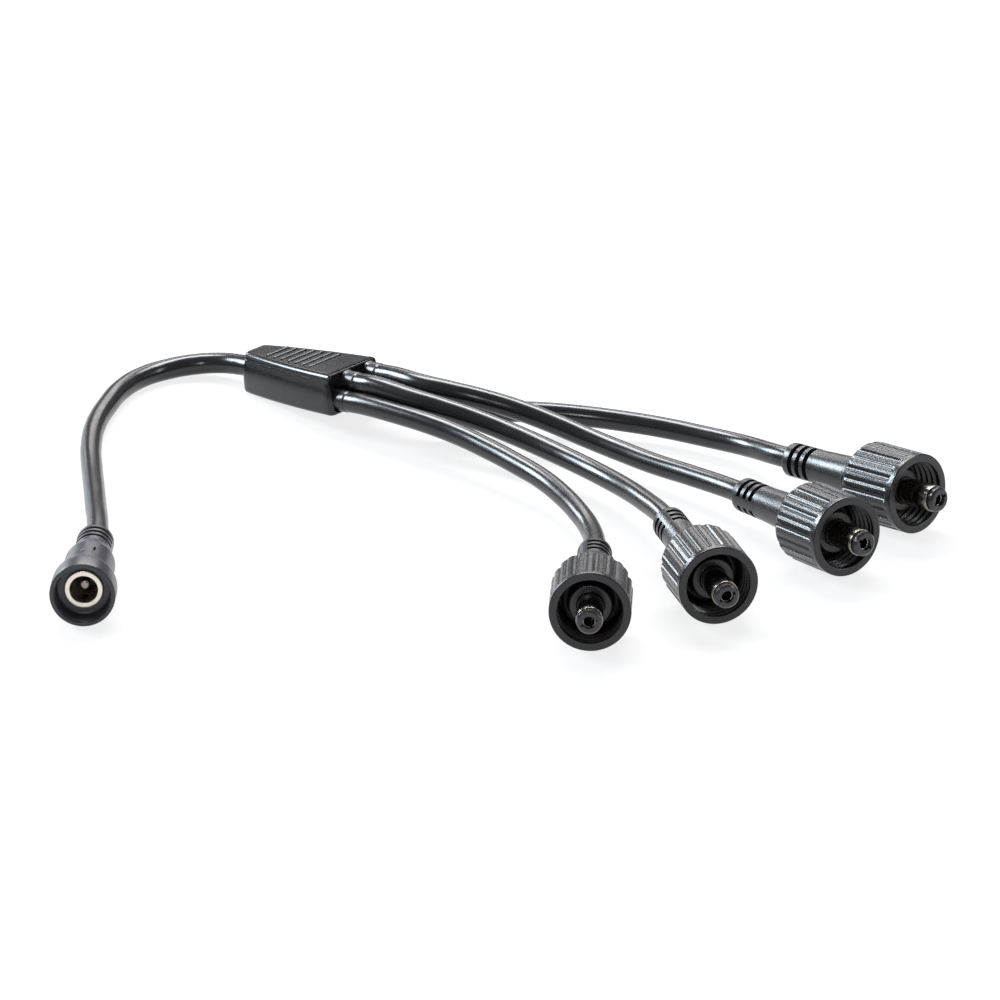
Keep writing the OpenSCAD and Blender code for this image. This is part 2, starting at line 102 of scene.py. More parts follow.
def linear(code):
    """An sRGB hex colour as linear red, green and blue."""
    parts = [int(code[i:i + 2], 16) / 255 for i in (1, 3, 5)]
    return [p / 12.92 if p <= 0.04045 else ((p + 0.055) / 1.055) ** 2.4 for p in parts]


def length(name, description, millimetres):
    """A length property, stored in metres."""
    return FloatProperty(name=name, description=description, default=millimetres * MM,
                         min=0, precision=5, unit="LENGTH", subtype="DISTANCE")


def colour(name, description, code):
    """A colour property."""
    return FloatVectorProperty(name=name, description=description, default=linear(code),
                               size=3, min=0, max=1, subtype="COLOR")


class NutSizes(PropertyGroup):
    """Sizes of a coupling nut."""
    od: length("Diameter", "Outside diameter of the nut", 16.6)
    length: length("Length", "Length of the nut", 14.5)
    middle: length("Middle", "Distance from the plug's cable end to the nut's middle", 28.45)
    bore: length("Mouth", "Bore of the nut's mouth over the thread's crests", 12.9)
    neck: length("Back hole", "Hole in the nut's back that turns on the plug's neck", 9.1)
    lip: length("Back lip", "Thickness of the lip at the nut's back", 3)
    rim: length("Rim", "Length of the plain rim in front of the grooves", 1.3)
    pitch: length("Thread pitch", "Pitch of the internal thread", 1.5)
    thread: length("Thread depth", "Depth of the internal thread", 0.45)
    turns: IntProperty(name="Thread turns", description="Number of thread turns", default=5, min=1)
    grooves: IntProperty(name="Grooves", description="Number of deep grip grooves", default=12, min=3)
    deep: length("Deep groove", "Depth of a deep grip groove", 0.6)
    shallow: length("Shallow groove", "Depth of a shallow grip groove", 0.25)
    groove_round: length("Groove radius", "Radius of a grip groove's round floor", 0.8)
    fade: length("Groove end", "Length over which a groove runs out at the rim", 0.7)
    thread_front: length("Thread front", "Distance from the mouth to the thread's front end", 1.2)


class PlugSizes(PropertyGroup):
    """Sizes of a plug."""
    length: length("Length", "Length of the moulded body", 32)
    relief: length("Strain relief", "Diameter of the strain relief at the cable end", 7.1)
    body: length("Body", "Diameter of the body behind the collar step", 7.9)
    neck: length("Neck", "Diameter of the neck that the nut turns on", 8.5)
    relief_length: length("Relief length", "Length of the strain relief's straight part", 8.6)
    step_back: length("Collar step", "Distance from the nut's back to the step up to the neck", 3.7)
    flange: length("Flange", "Diameter of the flange that keeps the nut on", 11.8)
    flange_back: length("Flange place", "Distance from the flange's back to the body's front", 7.5)
    flange_length: length("Flange length", "Thickness of the flange", 3)
    boss: length("Boss", "Diameter of the boss in front of the flange", 8.8)
    seal: length("Seal", "Cord diameter of the seal ring", 1.5)
    barrel: length("Barrel", "Outside diameter of the barrel", 5.5)
    barrel_wall: length("Barrel wall", "Wall of the barrel's sleeve", 0.45)
    barrel_out: length("Barrel length", "How far the barrel's tip stands out of the body", 10)
    tip: length("Tip", "Length of the insulating tip in front of the sleeve", 1.2)
    hole: length("Tip hole", "Diameter of the hole in the tip", 2.1)
    contact_wall: length("Contact wall", "Wall of the forked centre contact", 0.45)
    tip_root: length("Tip root", "How far the insulating tip reaches into the body", 4)
    sleeve_root: length("Sleeve root", "How far the sleeve reaches into the body", 7)
    contact_root: length("Contact root", "How far the centre contact reaches into the body", 6)
    slit: length("Slit", "Length of the slit that forks the centre contact", 4.6)


class ReliefSizes(PropertyGroup):
    """Sizes of the slots in a strain relief."""
    first: length("First slot", "Distance from the cable end to the first slot", 1.9)
    pitch: length("Pitch", "Distance between two slots", 2.1)
    width: length("Width", "Width of a slot", 1.1)
    web: length("Web", "Width of each of the two webs that bridge a slot", 2)
    floor: length("Floor", "Diameter of the floor of a slot", 4.9)
    count: IntProperty(name="Slots", description="Number of slots", default=3, min=1)


class SocketSizes(PropertyGroup):
    """Sizes of the socket."""
    length: length("Length", "Length of the moulded socket", 32.5)
    collar: length("Collar", "Diameter of the front collar", 13.3)
    collar_length: length("Collar length", "Length of the front collar", 7)
    cup_wall: length("Cup wall", "Wall of the cup in the collar", 0.9)
    cup_depth: length("Cup depth", "Depth of the cup's floor below the rim", 4)
    shell: length("Shell", "Outside diameter of the metal shell", 7.9)
    shell_bore: length("Shell bore", "Bore of the metal shell", 5.6)
    shell_back: length("Shell depth", "Depth of the shell's face below the rim", 3.4)
    body: length("Body", "Diameter of the body behind the collar", 10.3)
    relief: length("Strain relief", "Diameter of the strain relief", 7.6)
    relief_length: length("Relief length", "Length of the strain relief's straight part", 9.2)
    body_start: length("Body start", "Distance from the cable end to the full body", 14)
    shell_root: length("Shell root", "Distance from the cable end to the shell's inner end", 15)
    pin: length("Pin", "Diameter of the centre pin", 2.1)
    pin_base: length("Pin base", "Distance from the cable end to the foot of the pin", 20)
    pin_length: length("Pin length", "Free length of the pin", 6.4)
    pin_middle: length("Pin middle", "Distance from the cable end to the pin's middle", 23)


class BlockSizes(PropertyGroup):
    """Sizes of the splitter block."""
    length: length("Length", "Length of the block", 30.5)
    wide: length("Wide end", "Width at the end with four leads", 16.4)
    narrow: length("Narrow end", "Width at the end with one lead", 7.6)
    height: length("Height", "Height of the block", 8.8)
    nose: length("Nose radius", "Corner radius at the narrow end", 2.6)
    corner: length("Corner radius", "Corner radius at the wide end", 1.6)
    side_lip: length("Side lip", "Wall beside the recess in the wide end", 0.85)
    top_lip: length("Top lip", "Wall above and below the recess in the wide end", 0.5)
    recess: length("Recess", "Depth of the recess round the four leads", 1.5)
    boot: length("Boot length", "Length of the boots in front of the recess floor", 4)
    boot_wall: length("Boot wall", "Wall of a boot", 0.1)
    lead_step: length("Lead step", "Side step from lead to lead", 3.3)
    lead_rise: length("Lead rise", "Height step between neighbouring leads", 3.1)
    foot: length("Foot", "Distance from the narrow end to the middle of the underside", 14)
    ridges: IntProperty(name="Ridges", description="Number of grip ridges", default=7, min=1)
    ridge_pitch: length("Ridge pitch", "Distance between two grip ridges", 2.3)
    ridge_height: length("Ridge height", "Height of a grip ridge", 0.35)
    ridge_round: length("Ridge radius", "Radius of a grip ridge's round top", 0.45)
    edge: length("Top edge", "Radius of the rounding along the top edge", 1.2)
    foot_edge: length("Bottom edge", "Radius of the rounding along the bottom edge", 0.9)


class LeadSizes(PropertyGroup):
    """Sizes of the leads."""
    diameter: length("Diameter", "Outside diameter of every lead", 4.4)
    in_plug: length("Length in a plug", "How far a lead reaches into a plug", 11.8)
    in_socket: length("Length in the socket", "How far the main lead reaches into the socket", 9.8)
    in_wide_end: length("Length in a boot", "How far a branch lead reaches into its boot", 5.5)
    in_narrow_end: length("Length in the block", "How far the main lead reaches into the block", 5.8)


class Finishes(PropertyGroup):
    """Colours of the mouldings and the metal."""
    nut: colour("Nut", "Nylon of the coupling nuts", "#18181b")
    body: colour("Plug body", "Overmould of the plugs", "#18181b")
    socket: colour("Socket", "Overmould of the socket", "#2b2a32")
    block: colour("Block", "Overmould of the splitter block", "#0e0f12")
    inner: colour("Block inside", "Inner moulding of the block, with its boots", "#151517")
    jacket: colour("Lead", "Jacket of the leads", "#161619")
    tip: colour("Tip", "Insulating tip of a barrel", "#26262a")
    seal: colour("Seal", "Ring that the mating part presses on", "#1c1c1f")
    # Painted shade: this nickel is much darker than the shell's, so that barrels, pin and contacts look dark in
    # their mouths and bore
    nickel: colour("Nickel", "Nickel plate of barrels, pin and contacts", "#8a837b")
    shell: colour("Shell", "Nickel plate of the socket's shell", "#e2d9cf")
    # Painted shade: the premould is drawn near-black so that the bottom of the socket's bore looks dark
    premould: colour("Premould", "Inner mouldings of the plugs and the socket", "#141416")
    red: colour("Red core", "Insulation of the positive cores", "#a33a2e")
    black: colour("Black core", "Insulation of the negative cores", "#2a2a2c")
    splice: colour("Splice", "Tinned brass of the splice sleeves", "#b3a678")
    spring: colour("Spring", "Phosphor bronze of the socket's spring", "#c39a5f")


class StageSizes(PropertyGroup):
    """The camera and the floor."""
    azimuth: FloatProperty(name="Azimuth", description="Compass turn of the camera from +Y",
                           default=math.radians(42.5), subtype="ANGLE")
    elevation: FloatProperty(name="Elevation", description="Height of the camera over the horizon",
                             default=math.radians(23), subtype="ANGLE")
    distance: length("Distance", "Distance from the camera to what it looks at", 2500)
    width: length("Width seen", "Width of the picture at that distance", 205)
    aim: FloatVectorProperty(name="Aim", description="Point on the floor that the camera looks at",
                             default=(-.0025, .0275, 0), size=3, unit="LENGTH", subtype="TRANSLATION")
    floor: length("Floor", "Side of the square floor", 40000)


GROUPS = {
    "lead_nuts": NutSizes,
    "lead_plugs": PlugSizes,
    "lead_relief": ReliefSizes,
    "lead_socket": SocketSizes,
    "lead_block": BlockSizes,
    "lead_cable": LeadSizes,
    "lead_finish": Finishes,
    "lead_stage": StageSizes,
}


class Millimetres:
    """The lengths of a property group in millimetres, and its whole numbers as they are."""

    def __init__(self, group):
        for name in type(group).__annotations__:
            value = getattr(group, name)
            setattr(self, name, value / MM if isinstance(value, float) else value)


# ---- places, from the frame ----

def laid(point, axis, at, roll=0.0):
    """Lays millimetres on the frame: local +Z runs along axis, and local length at is at point."""
    axis = Vector(axis).normalized()
    heading = Matrix.Rotation(math.atan2(axis.y, axis.x), 4, "Z")
    lean = Matrix.Rotation(math.acos(axis.z), 4, "Y")
    spin = Matrix.Rotation(math.radians(roll), 4, "Z")
    start = Matrix.Translation(Vector(point) - axis * at * MM)
    return start @ heading @ lean @ spin @ Matrix.Scale(MM, 4)


def plug_place(number, rolls=BARREL_ROLL):
    """Where a plug lies, from its nut's joint, rolled as its barrel or its strain relief is."""
    joint = JOINTS[f"nut_spin_{number}"]
    middle = bpy.context.scene.lead_nuts.middle / MM
    return laid(joint["pos_m"], joint["axis"], middle, rolls[number])


def socket_place():
    """Where the socket lies, from the mount on its pin."""
    mount = MOUNTS["socket_pin_end"]
    return laid(mount["pos_m"], mount["axis"], bpy.context.scene.lead_socket.pin_middle / MM)


def block_place():
    """Where the block lies, from the mount on its underside: local X along it and Z up."""
    mount = MOUNTS["block_underside"]
    down = Vector(mount["axis"])
    tilt = Matrix.Rotation(-math.atan2(down.x, -down.z), 4, "Y")
    middle = Matrix.Translation((-bpy.context.scene.lead_block.foot / MM, 0, 0))
    return Matrix.Translation(mount["pos_m"]) @ tilt @ Matrix.Scale(MM, 4) @ middle


def lead_holes():
    """Middle of each of the block's four lead holes, across it and up, in millimetres."""
    block = Millimetres(bpy.context.scene.lead_block)
    holes = []
    for i in range(4):
        rise = block.lead_rise / 2 * (1 if i % 2 else -1)
        holes.append(((i - 1.5) * block.lead_step, block.height / 2 + rise))
    return holes


# ---- meshes ----

def rounded(corners, steps=5):
    """A closed profile through corners (radius, length, fillet), with an arc at each fillet."""
    points = []
    for i, (radius, height, fillet) in enumerate(corners):
        here = Vector((radius, height))
        if not fillet:
            points.append(here)
            continue
        before = Vector(corners[i - 1][:2]) - here
        after = Vector(corners[(i + 1) % len(corners)][:2]) - here
        half = before.angle(after) / 2
        reach = min(fillet / math.tan(half), 0.49 * before.length, 0.49 * after.length)
        inward = (before.normalized() + after.normalized()).normalized()
        centre = here + inward * reach / math.cos(half)
        start = here + before.normalized() * reach - centre
        end = here + after.normalized() * reach - centre
        turn = math.pi - 2 * half
        for k in range(steps + 1):
            share = k / steps
            arm = start * math.sin((1 - share) * turn) + end * math.sin(share * turn)
            points.append(centre + arm / math.sin(turn))
    return points


def finer(profile, step):
    """The closed profile with its long stretches cut into shorter ones."""
    points = []
    for i, point in enumerate(profile):
        after = profile[(i + 1) % len(profile)]
        pieces = max(1, math.ceil((after - point).length / step))
        points += [point.lerp(after, k / pieces) for k in range(pieces)]
    return points


def even_angles(count):
    """Angles spaced evenly round a full turn."""
    return [2 * math.pi * k / count for k in range(count)]


def skin(shape, rings):
    """Adds the faces between each closed ring of vertices and the next."""
    for ring, after in zip(rings, rings[1:]):
        for k in range(len(ring)):
            n = (k + 1) % len(ring)
            shape.faces.new((ring[k], ring[n], after[n], after[k]))


def turned(profile, angles):
    """A closed profile of (radius, length) points turned about the Z axis, as a mesh."""
    shape = bmesh.new()
    rings = [[shape.verts.new((r * math.cos(a), r * math.sin(a), z)) for a in angles]
             for r, z in profile]
    skin(shape, rings + rings[:1])
    return closed_mesh(shape)


def closed_mesh(shape):
    """A mesh of a bmesh shape with its seams merged and its faces pointing outwards."""
    bmesh.ops.remove_doubles(shape, verts=shape.verts, dist=1e-4)
    bmesh.ops.dissolve_degenerate(shape, dist=1e-5, edges=shape.edges)
    bmesh.ops.recalc_face_normals(shape, faces=shape.faces)
    mesh = bpy.data.meshes.new("shape")
    shape.to_mesh(mesh)
    shape.free()
    return mesh


def box_mesh(low, high):
    """A plain box between two corners."""
    shape = bmesh.new()
    bmesh.ops.create_cube(shape, size=1)
    bmesh.ops.scale(shape, vec=Vector(high) - Vector(low), verts=shape.verts)
    bmesh.ops.translate(shape, vec=(Vector(high) + Vector(low)) / 2, verts=shape.verts)
    return closed_mesh(shape)


def evaluated(mesh, kind, settings, inputs=None):
    """The mesh that one modifier makes of a mesh. Inputs are those of its node tree."""
    carrier = bpy.data.objects.new("carrier", mesh)
    bpy.context.scene.collection.objects.link(carrier)
    modifier = carrier.modifiers.new(kind, kind)
    for name, value in settings.items():
        setattr(modifier, name, value)
    for identifier, value in (inputs or {}).items():
        modifier[identifier] = value
    result = bpy.data.meshes.new_from_object(
        carrier.evaluated_get(bpy.context.evaluated_depsgraph_get()))
    bpy.data.objects.remove(carrier)
    return result


def cut(mesh, *tools):
    """The mesh with each tool taken out of it in turn."""
    for tool in tools:
        cutter = bpy.data.objects.new("cutter", tool)
        bpy.context.scene.collection.objects.link(cutter)
        mesh = evaluated(mesh, "BOOLEAN", {"object": cutter, "operation": "DIFFERENCE"})
        bpy.data.objects.remove(cutter)
    return mesh


def grown(mesh, tree, **inputs):
    """The mesh that a Geometry Nodes tree makes of a mesh, with its named inputs set."""
    names = {item.name: item.identifier for item in tree.interface.items_tree
             if item.in_out == "INPUT"}
    return evaluated(mesh, "NODES", {"node_group": tree},
                     {names[name]: value for name, value in inputs.items()})


def piece(name, mesh, place, material, nodes, body=HARNESS, crease=32):
    """Lays a finished mesh on the frame, gives it its material, hangs it on its body and hides the frame's parts
    that it stands for.
    """
    mesh.name = name
    mesh.transform(place)
    mesh.materials.clear()
    mesh.materials.append(material)
    mesh.shade_smooth()
    mesh.set_sharp_from_angle(angle=math.radians(crease))
    obj = bpy.data.objects.new(name, mesh)
    bpy.context.scene.collection.objects.link(obj)
    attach(obj, body)
    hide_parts(*nodes)
    return obj


# ---- node trees ----

def add_node(tree, kind, inputs=None, **settings):
    """Adds a node. Inputs are values, or what links there; a node stands for its first output."""
    node = tree.nodes.new(kind)
    for name, value in settings.items():
        setattr(node, name, value)
    for key, value in (inputs or {}).items():
        if isinstance(value, bpy.types.Node):
            value = value.outputs[0]
        if isinstance(value, bpy.types.NodeSocket):
            tree.links.new(value, node.inputs[key])
        else:
            node.inputs[key].default_value = value
    return node


def start_tree(name, **inputs):
    """A Geometry Nodes tree with named inputs, and its input sockets by name."""
    tree = bpy.data.node_groups.new(name, "GeometryNodeTree")
    tree.interface.new_socket("Geometry", in_out="INPUT", socket_type="NodeSocketGeometry")
    for title, kind in inputs.items():
        tree.interface.new_socket(title, in_out="INPUT", socket_type=f"NodeSocket{kind}")
    tree.interface.new_socket("Geometry", in_out="OUTPUT", socket_type="NodeSocketGeometry")
    entry = add_node(tree, "NodeGroupInput")
    return tree, {socket.name: socket for socket in entry.outputs if socket.name}


def end_tree(tree, material, *parts):
    """Ends a Geometry Nodes tree with its parts joined, as real geometry in its material."""
    joined = add_node(tree, "GeometryNodeJoinGeometry")
    for part in parts:
        tree.links.new(part, joined.inputs[0])
    real = add_node(tree, "GeometryNodeRealizeInstances", {"Geometry": joined})
    done = add_node(tree, "GeometryNodeSetMaterial", {"Geometry": real, "Material": material})
    add_node(tree, "NodeGroupOutput", {"Geometry": done})
    return tree


def axis_distance(tree):
    """A point's coordinates, the point dropped to Z = 0, and its distance from the Z axis."""
    place = add_node(tree, "GeometryNodeInputPosition")
    axes = add_node(tree, "ShaderNodeSeparateXYZ", {0: place}).outputs
    flat = add_node(tree, "ShaderNodeCombineXYZ", {"X": axes["X"], "Y": axes["Y"]})
    reach = add_node(tree, "ShaderNodeVectorMath", {0: flat}, operation="LENGTH").outputs["Value"]
    return axes, flat, reach


def at_distance(tree, axes, flat, reach, wanted, **inputs):
    """Moves points to the wanted distance from the Z axis, at their own height and bearing."""
    scale = add_node(tree, MATH, {0: wanted, 1: reach}, operation="DIVIDE")
    moved = add_node(tree, "ShaderNodeVectorMath", {0: flat, "Scale": scale}, operation="SCALE")
    height = add_node(tree, "ShaderNodeCombineXYZ", {"Z": axes["Z"]})
    target = add_node(tree, "ShaderNodeVectorMath", {0: moved, 1: height}, operation="ADD")
    return add_node(tree, "GeometryNodeSetPosition", {**inputs, "Position": target}).outputs[0]


def grip_grooves_tree():
    """Cuts deep and shallow round grooves in turn into a nut's outside, up to its plain rim."""
    tree, given = start_tree("Grip grooves", Count="Int", Radius="Float", Deep="Float",
                             Shallow="Float", Round="Float", Front="Float", Fade="Float",
                             Material="Material")
    axes, flat, reach = axis_distance(tree)
    angle = add_node(tree, MATH, {0: axes["Y"], 1: axes["X"]},
                     operation="ARCTAN2")
    share = add_node(tree, MATH, {0: angle, 1: math.tau}, operation="DIVIDE")
    phase = add_node(tree, MATH, {0: share, 1: given["Count"]}, operation="MULTIPLY")
    # Distance from the nearest deep groove, as a share of the step between two of them
    near = add_node(tree, MATH, {0: phase, 1: 1.0}, operation="PINGPONG")
    around = add_node(tree, MATH, {0: given["Radius"], 1: math.tau}, operation="MULTIPLY")
    step = add_node(tree, MATH, {0: around, 1: given["Count"]}, operation="DIVIDE")
    square = add_node(tree, MATH, {0: given["Round"], 1: 2.0}, operation="POWER")
    cuts = []
    for depth, offset in ((given["Deep"], 0.0), (given["Shallow"], 0.5)):
        shifted = add_node(tree, MATH, {0: near, 1: offset}, operation="SUBTRACT")
        if not offset:
            # A deep groove lies at every whole step, so both ends of the ping-pong count
            away = add_node(tree, MATH, {0: 1.0, 1: near}, operation="SUBTRACT")
            shifted = add_node(tree, MATH, {0: near, 1: away}, operation="MINIMUM")
        across = add_node(tree, MATH, {0: shifted, 1: step}, operation="MULTIPLY")
        squared = add_node(tree, MATH, {0: across, 1: 2.0}, operation="POWER")
        left = add_node(tree, MATH, {0: square, 1: squared}, operation="SUBTRACT")
        clear = add_node(tree, MATH, {0: left, 1: 0.0}, operation="MAXIMUM")
        root = add_node(tree, MATH, {0: clear}, operation="SQRT")
        sunk = add_node(tree, MATH, {0: root, 1: given["Round"]}, operation="SUBTRACT")
        cuts.append(add_node(tree, MATH, {0: sunk, 1: depth}, operation="ADD"))
    most = add_node(tree, MATH, {0: cuts[0], 1: cuts[1]}, operation="MAXIMUM")
    cut = add_node(tree, MATH, {0: most, 1: 0.0, 2: 0.08}, operation="SMOOTH_MAX")
    back = add_node(tree, MATH, {0: given["Front"], 1: given["Fade"]}, operation="SUBTRACT")
    fade = add_node(tree, "ShaderNodeMapRange",
                    {"Value": axes["Z"], "From Min": back, "From Max": given["Front"],
                     "To Min": 1.0, "To Max": 0.0}, interpolation_type="SMOOTHSTEP")
    faded = add_node(tree, MATH, {0: cut, 1: fade}, operation="MULTIPLY")
    limit = add_node(tree, MATH, {0: given["Radius"], 1: faded}, operation="SUBTRACT")
    kept = add_node(tree, MATH, {0: reach, 1: limit, 2: 0.12}, operation="SMOOTH_MIN")
    shaped = at_distance(tree, axes, flat, reach, kept, Geometry=given["Geometry"])
    return end_tree(tree, given["Material"], shaped)


def thread_tree():
    """Adds a helical thread ridge inside a nut's mouth, faded out at both ends."""
    tree, given = start_tree("Internal thread", Turns="Float", Pitch="Float", Radius="Float",
                             Depth="Float", Start="Float", Material="Material")
    height = add_node(tree, MATH, {0: given["Turns"], 1: given["Pitch"]}, operation="MULTIPLY")
    helix = add_node(tree, "GeometryNodeCurveSpiral",
                     {"Resolution": 72, "Rotations": given["Turns"], "Start Radius": given["Radius"],
                      "End Radius": given["Radius"], "Height": height})
    lift = add_node(tree, "ShaderNodeCombineXYZ", {"Z": given["Start"]})
    placed = add_node(tree, "GeometryNodeTransform", {"Geometry": helix, "Translation": lift})
    upright = add_node(tree, "GeometryNodeSetCurveNormal", {"Curve": placed}, mode="Z_UP")
    along = add_node(tree, "GeometryNodeSplineParameter").outputs["Factor"]
    to_end = add_node(tree, MATH, {0: along, 1: 0.5}, operation="PINGPONG")
    size = add_node(tree, "ShaderNodeMapRange",
                    {"Value": to_end, "From Min": 0.0, "From Max": 0.06,
                     "To Min": 0.05, "To Max": 1.0},
                    interpolation_type="SMOOTHSTEP")
    tapered = add_node(tree, "GeometryNodeSetCurveRadius", {"Curve": upright, "Radius": size})
    foot = add_node(tree, MATH, {0: given["Pitch"], 1: 0.72}, operation="MULTIPLY")
    crest = add_node(tree, MATH, {0: given["Pitch"], 1: 0.22}, operation="MULTIPLY")
    section = add_node(tree, "GeometryNodeCurvePrimitiveQuadrilateral",
                       {"Bottom Width": foot, "Top Width": crest, "Height": given["Depth"],
                        "Offset": 0.0}, mode="TRAPEZOID")
    inward = add_node(tree, MATH, {0: given["Depth"], 1: 0.5}, operation="MULTIPLY")
    shift = add_node(tree, "ShaderNodeCombineXYZ", {"Y": inward})
    moved = add_node(tree, "GeometryNodeTransform", {"Geometry": section, "Translation": shift})
    faced = add_node(tree, "GeometryNodeTransform",
                     {"Geometry": moved, "Rotation": (0.0, 0.0, math.radians(-90))})
    ridge = add_node(tree, "GeometryNodeCurveToMesh",
                     {"Curve": tapered, "Profile Curve": faced, "Scale": size, "Fill Caps": True})
    return end_tree(tree, given["Material"], ridge.outputs[0], given["Geometry"])


def relief_slots_tree():
    """Sinks a row of slots into a strain relief, each bridged by two webs."""
    tree, given = start_tree("Relief slots", First="Float", Pitch="Float", Width="Float",
                             Count="Int", Web="Float", Floor="Float", Material="Material")
    axes, flat, reach = axis_distance(tree)
    past = add_node(tree, MATH, {0: axes["Z"], 1: given["First"]}, operation="SUBTRACT")
    within = add_node(tree, MATH, {0: past, 1: given["Pitch"]}, operation="FLOORED_MODULO")
    row = add_node(tree, MATH, {0: given["Count"], 1: given["Pitch"]}, operation="MULTIPLY")
    aside = add_node(tree, MATH, {0: axes["X"]}, operation="ABSOLUTE")
    web = add_node(tree, MATH, {0: given["Web"], 1: 0.5}, operation="MULTIPLY")
    tests = (
        (past, "GREATER_THAN", 0.0),
        (past, "LESS_THAN", row),
        (within, "LESS_THAN", given["Width"]),
        (aside, "GREATER_THAN", web),
        (reach, "GREATER_THAN", given["Floor"]),
    )
    chosen = None
    for value, test, limit in tests:
        found = add_node(tree, "FunctionNodeCompare", {"A": value, "B": limit}, operation=test)
        chosen = found if chosen is None else add_node(
            tree, "FunctionNodeBooleanMath", {0: chosen, 1: found}, operation="AND")
    sunk = at_distance(tree, axes, flat, reach, given["Floor"],
                       Geometry=given["Geometry"], Selection=chosen)
    return end_tree(tree, given["Material"], sunk)


def grip_ridges_tree():
    """Sets a row of rounded ridges on the block's top, each as long as the block lets it."""
    tree, given = start_tree("Grip ridges", Count="Int", Pitch="Float", First="Float", Top="Float",
                             Height="Float", Length="Float", Growth="Float", Radius="Float",
                             Material="Material")
    row = add_node(tree, "GeometryNodeMeshLine", {"Count": given["Count"]})
    number = add_node(tree, "GeometryNodeInputIndex")
    along = add_node(tree, MATH, {0: number, 1: given["Pitch"], 2: given["First"]},
                     operation="MULTIPLY_ADD")
    deep = add_node(tree, MATH, {0: given["Height"], 1: given["Top"]}, operation="ADD")
    sunk = add_node(tree, MATH, {0: deep, 1: given["Radius"]}, operation="SUBTRACT")
    spot = add_node(tree, "ShaderNodeCombineXYZ", {"X": along, "Z": sunk})
    spread = add_node(tree, "GeometryNodeSetPosition", {"Geometry": row, "Position": spot})
    bar = add_node(tree, "GeometryNodeCurvePrimitiveLine",
                   {"Start": (0.0, -0.5, 0.0), "End": (0.0, 0.5, 0.0)})
    cut = add_node(tree, "GeometryNodeResampleCurve", {"Curve": bar, "Count": 33})
    share = add_node(tree, "GeometryNodeSplineParameter").outputs["Factor"]
    to_end = add_node(tree, MATH, {0: share, 1: 0.5}, operation="PINGPONG")
    size = add_node(tree, "ShaderNodeMapRange",
                    {"Value": to_end, "From Min": 0.0, "From Max": 0.05,
                     "To Min": 0.4, "To Max": 1.0},
                    interpolation_type="SMOOTHERSTEP")
    round_bar = add_node(tree, "GeometryNodeCurvePrimitiveCircle",
                         {"Resolution": 20, "Radius": given["Radius"]})
    ridge = add_node(tree, "GeometryNodeCurveToMesh",
                     {"Curve": cut, "Profile Curve": round_bar, "Scale": size, "Fill Caps": True})
    longer = add_node(tree, MATH, {0: number, 1: given["Growth"], 2: given["Length"]},
                      operation="MULTIPLY_ADD")
    scale = add_node(tree, "ShaderNodeCombineXYZ", {"X": 1.0, "Y": longer, "Z": 1.0})
    ridges = add_node(tree, "GeometryNodeInstanceOnPoints",
                      {"Points": spread, "Instance": ridge, "Scale": scale})
    return end_tree(tree, given["Material"], ridges.outputs[0], given["Geometry"])


# ---- materials ----

def moulded(name, shade, drift, patch, roughness, grain, depth, **fixed):
    """A material whose shade and gloss drift over patches, under a grain that stands out by depth.

    Drift is the share by which the shade changes, roughness its low and high value, and patch,
    grain and depth are millimetres. What is fixed goes straight onto the shader.
    """
    material = bpy.data.materials.new(name)
    material.use_nodes = True
    tree = material.node_tree
    tree.nodes.clear()
    spot = add_node(tree, "ShaderNodeTexCoord").outputs["Object"]
    patches = add_node(tree, "ShaderNodeTexNoise",
                       {"Vector": spot, "Scale": 1 / (patch * MM), "Detail": 3.0})
    fine = add_node(tree, "ShaderNodeTexNoise",
                    {"Vector": spot, "Scale": 1 / (grain * MM), "Detail": 2.0})
    dark = [c * (1 - drift) for c in shade] + [1.0]
    light = [min(1.0, c * (1 + drift)) for c in shade] + [1.0]
    # Sockets 6 and 7 are the two colours that this node mixes, and output 2 is the mixed colour
    tint = add_node(tree, "ShaderNodeMix", {0: patches, 6: dark, 7: light},
                    data_type="RGBA").outputs[2]
    both = add_node(tree, MATH, {0: patches, 1: fine}, operation="MULTIPLY")
    gloss = add_node(tree, "ShaderNodeMapRange",
                     {"Value": both, "From Min": 0.1, "From Max": 0.45,
                      "To Min": roughness[0], "To Max": roughness[1]})
    relief = add_node(tree, "ShaderNodeBump",
                      {"Height": fine, "Strength": 1.0, "Distance": depth * MM})
    shader = add_node(tree, "ShaderNodeBsdfPrincipled",
                      {"Base Color": tint, "Roughness": gloss, "Normal": relief, **fixed})
    add_node(tree, "ShaderNodeOutputMaterial", {"Surface": shader})
    return material


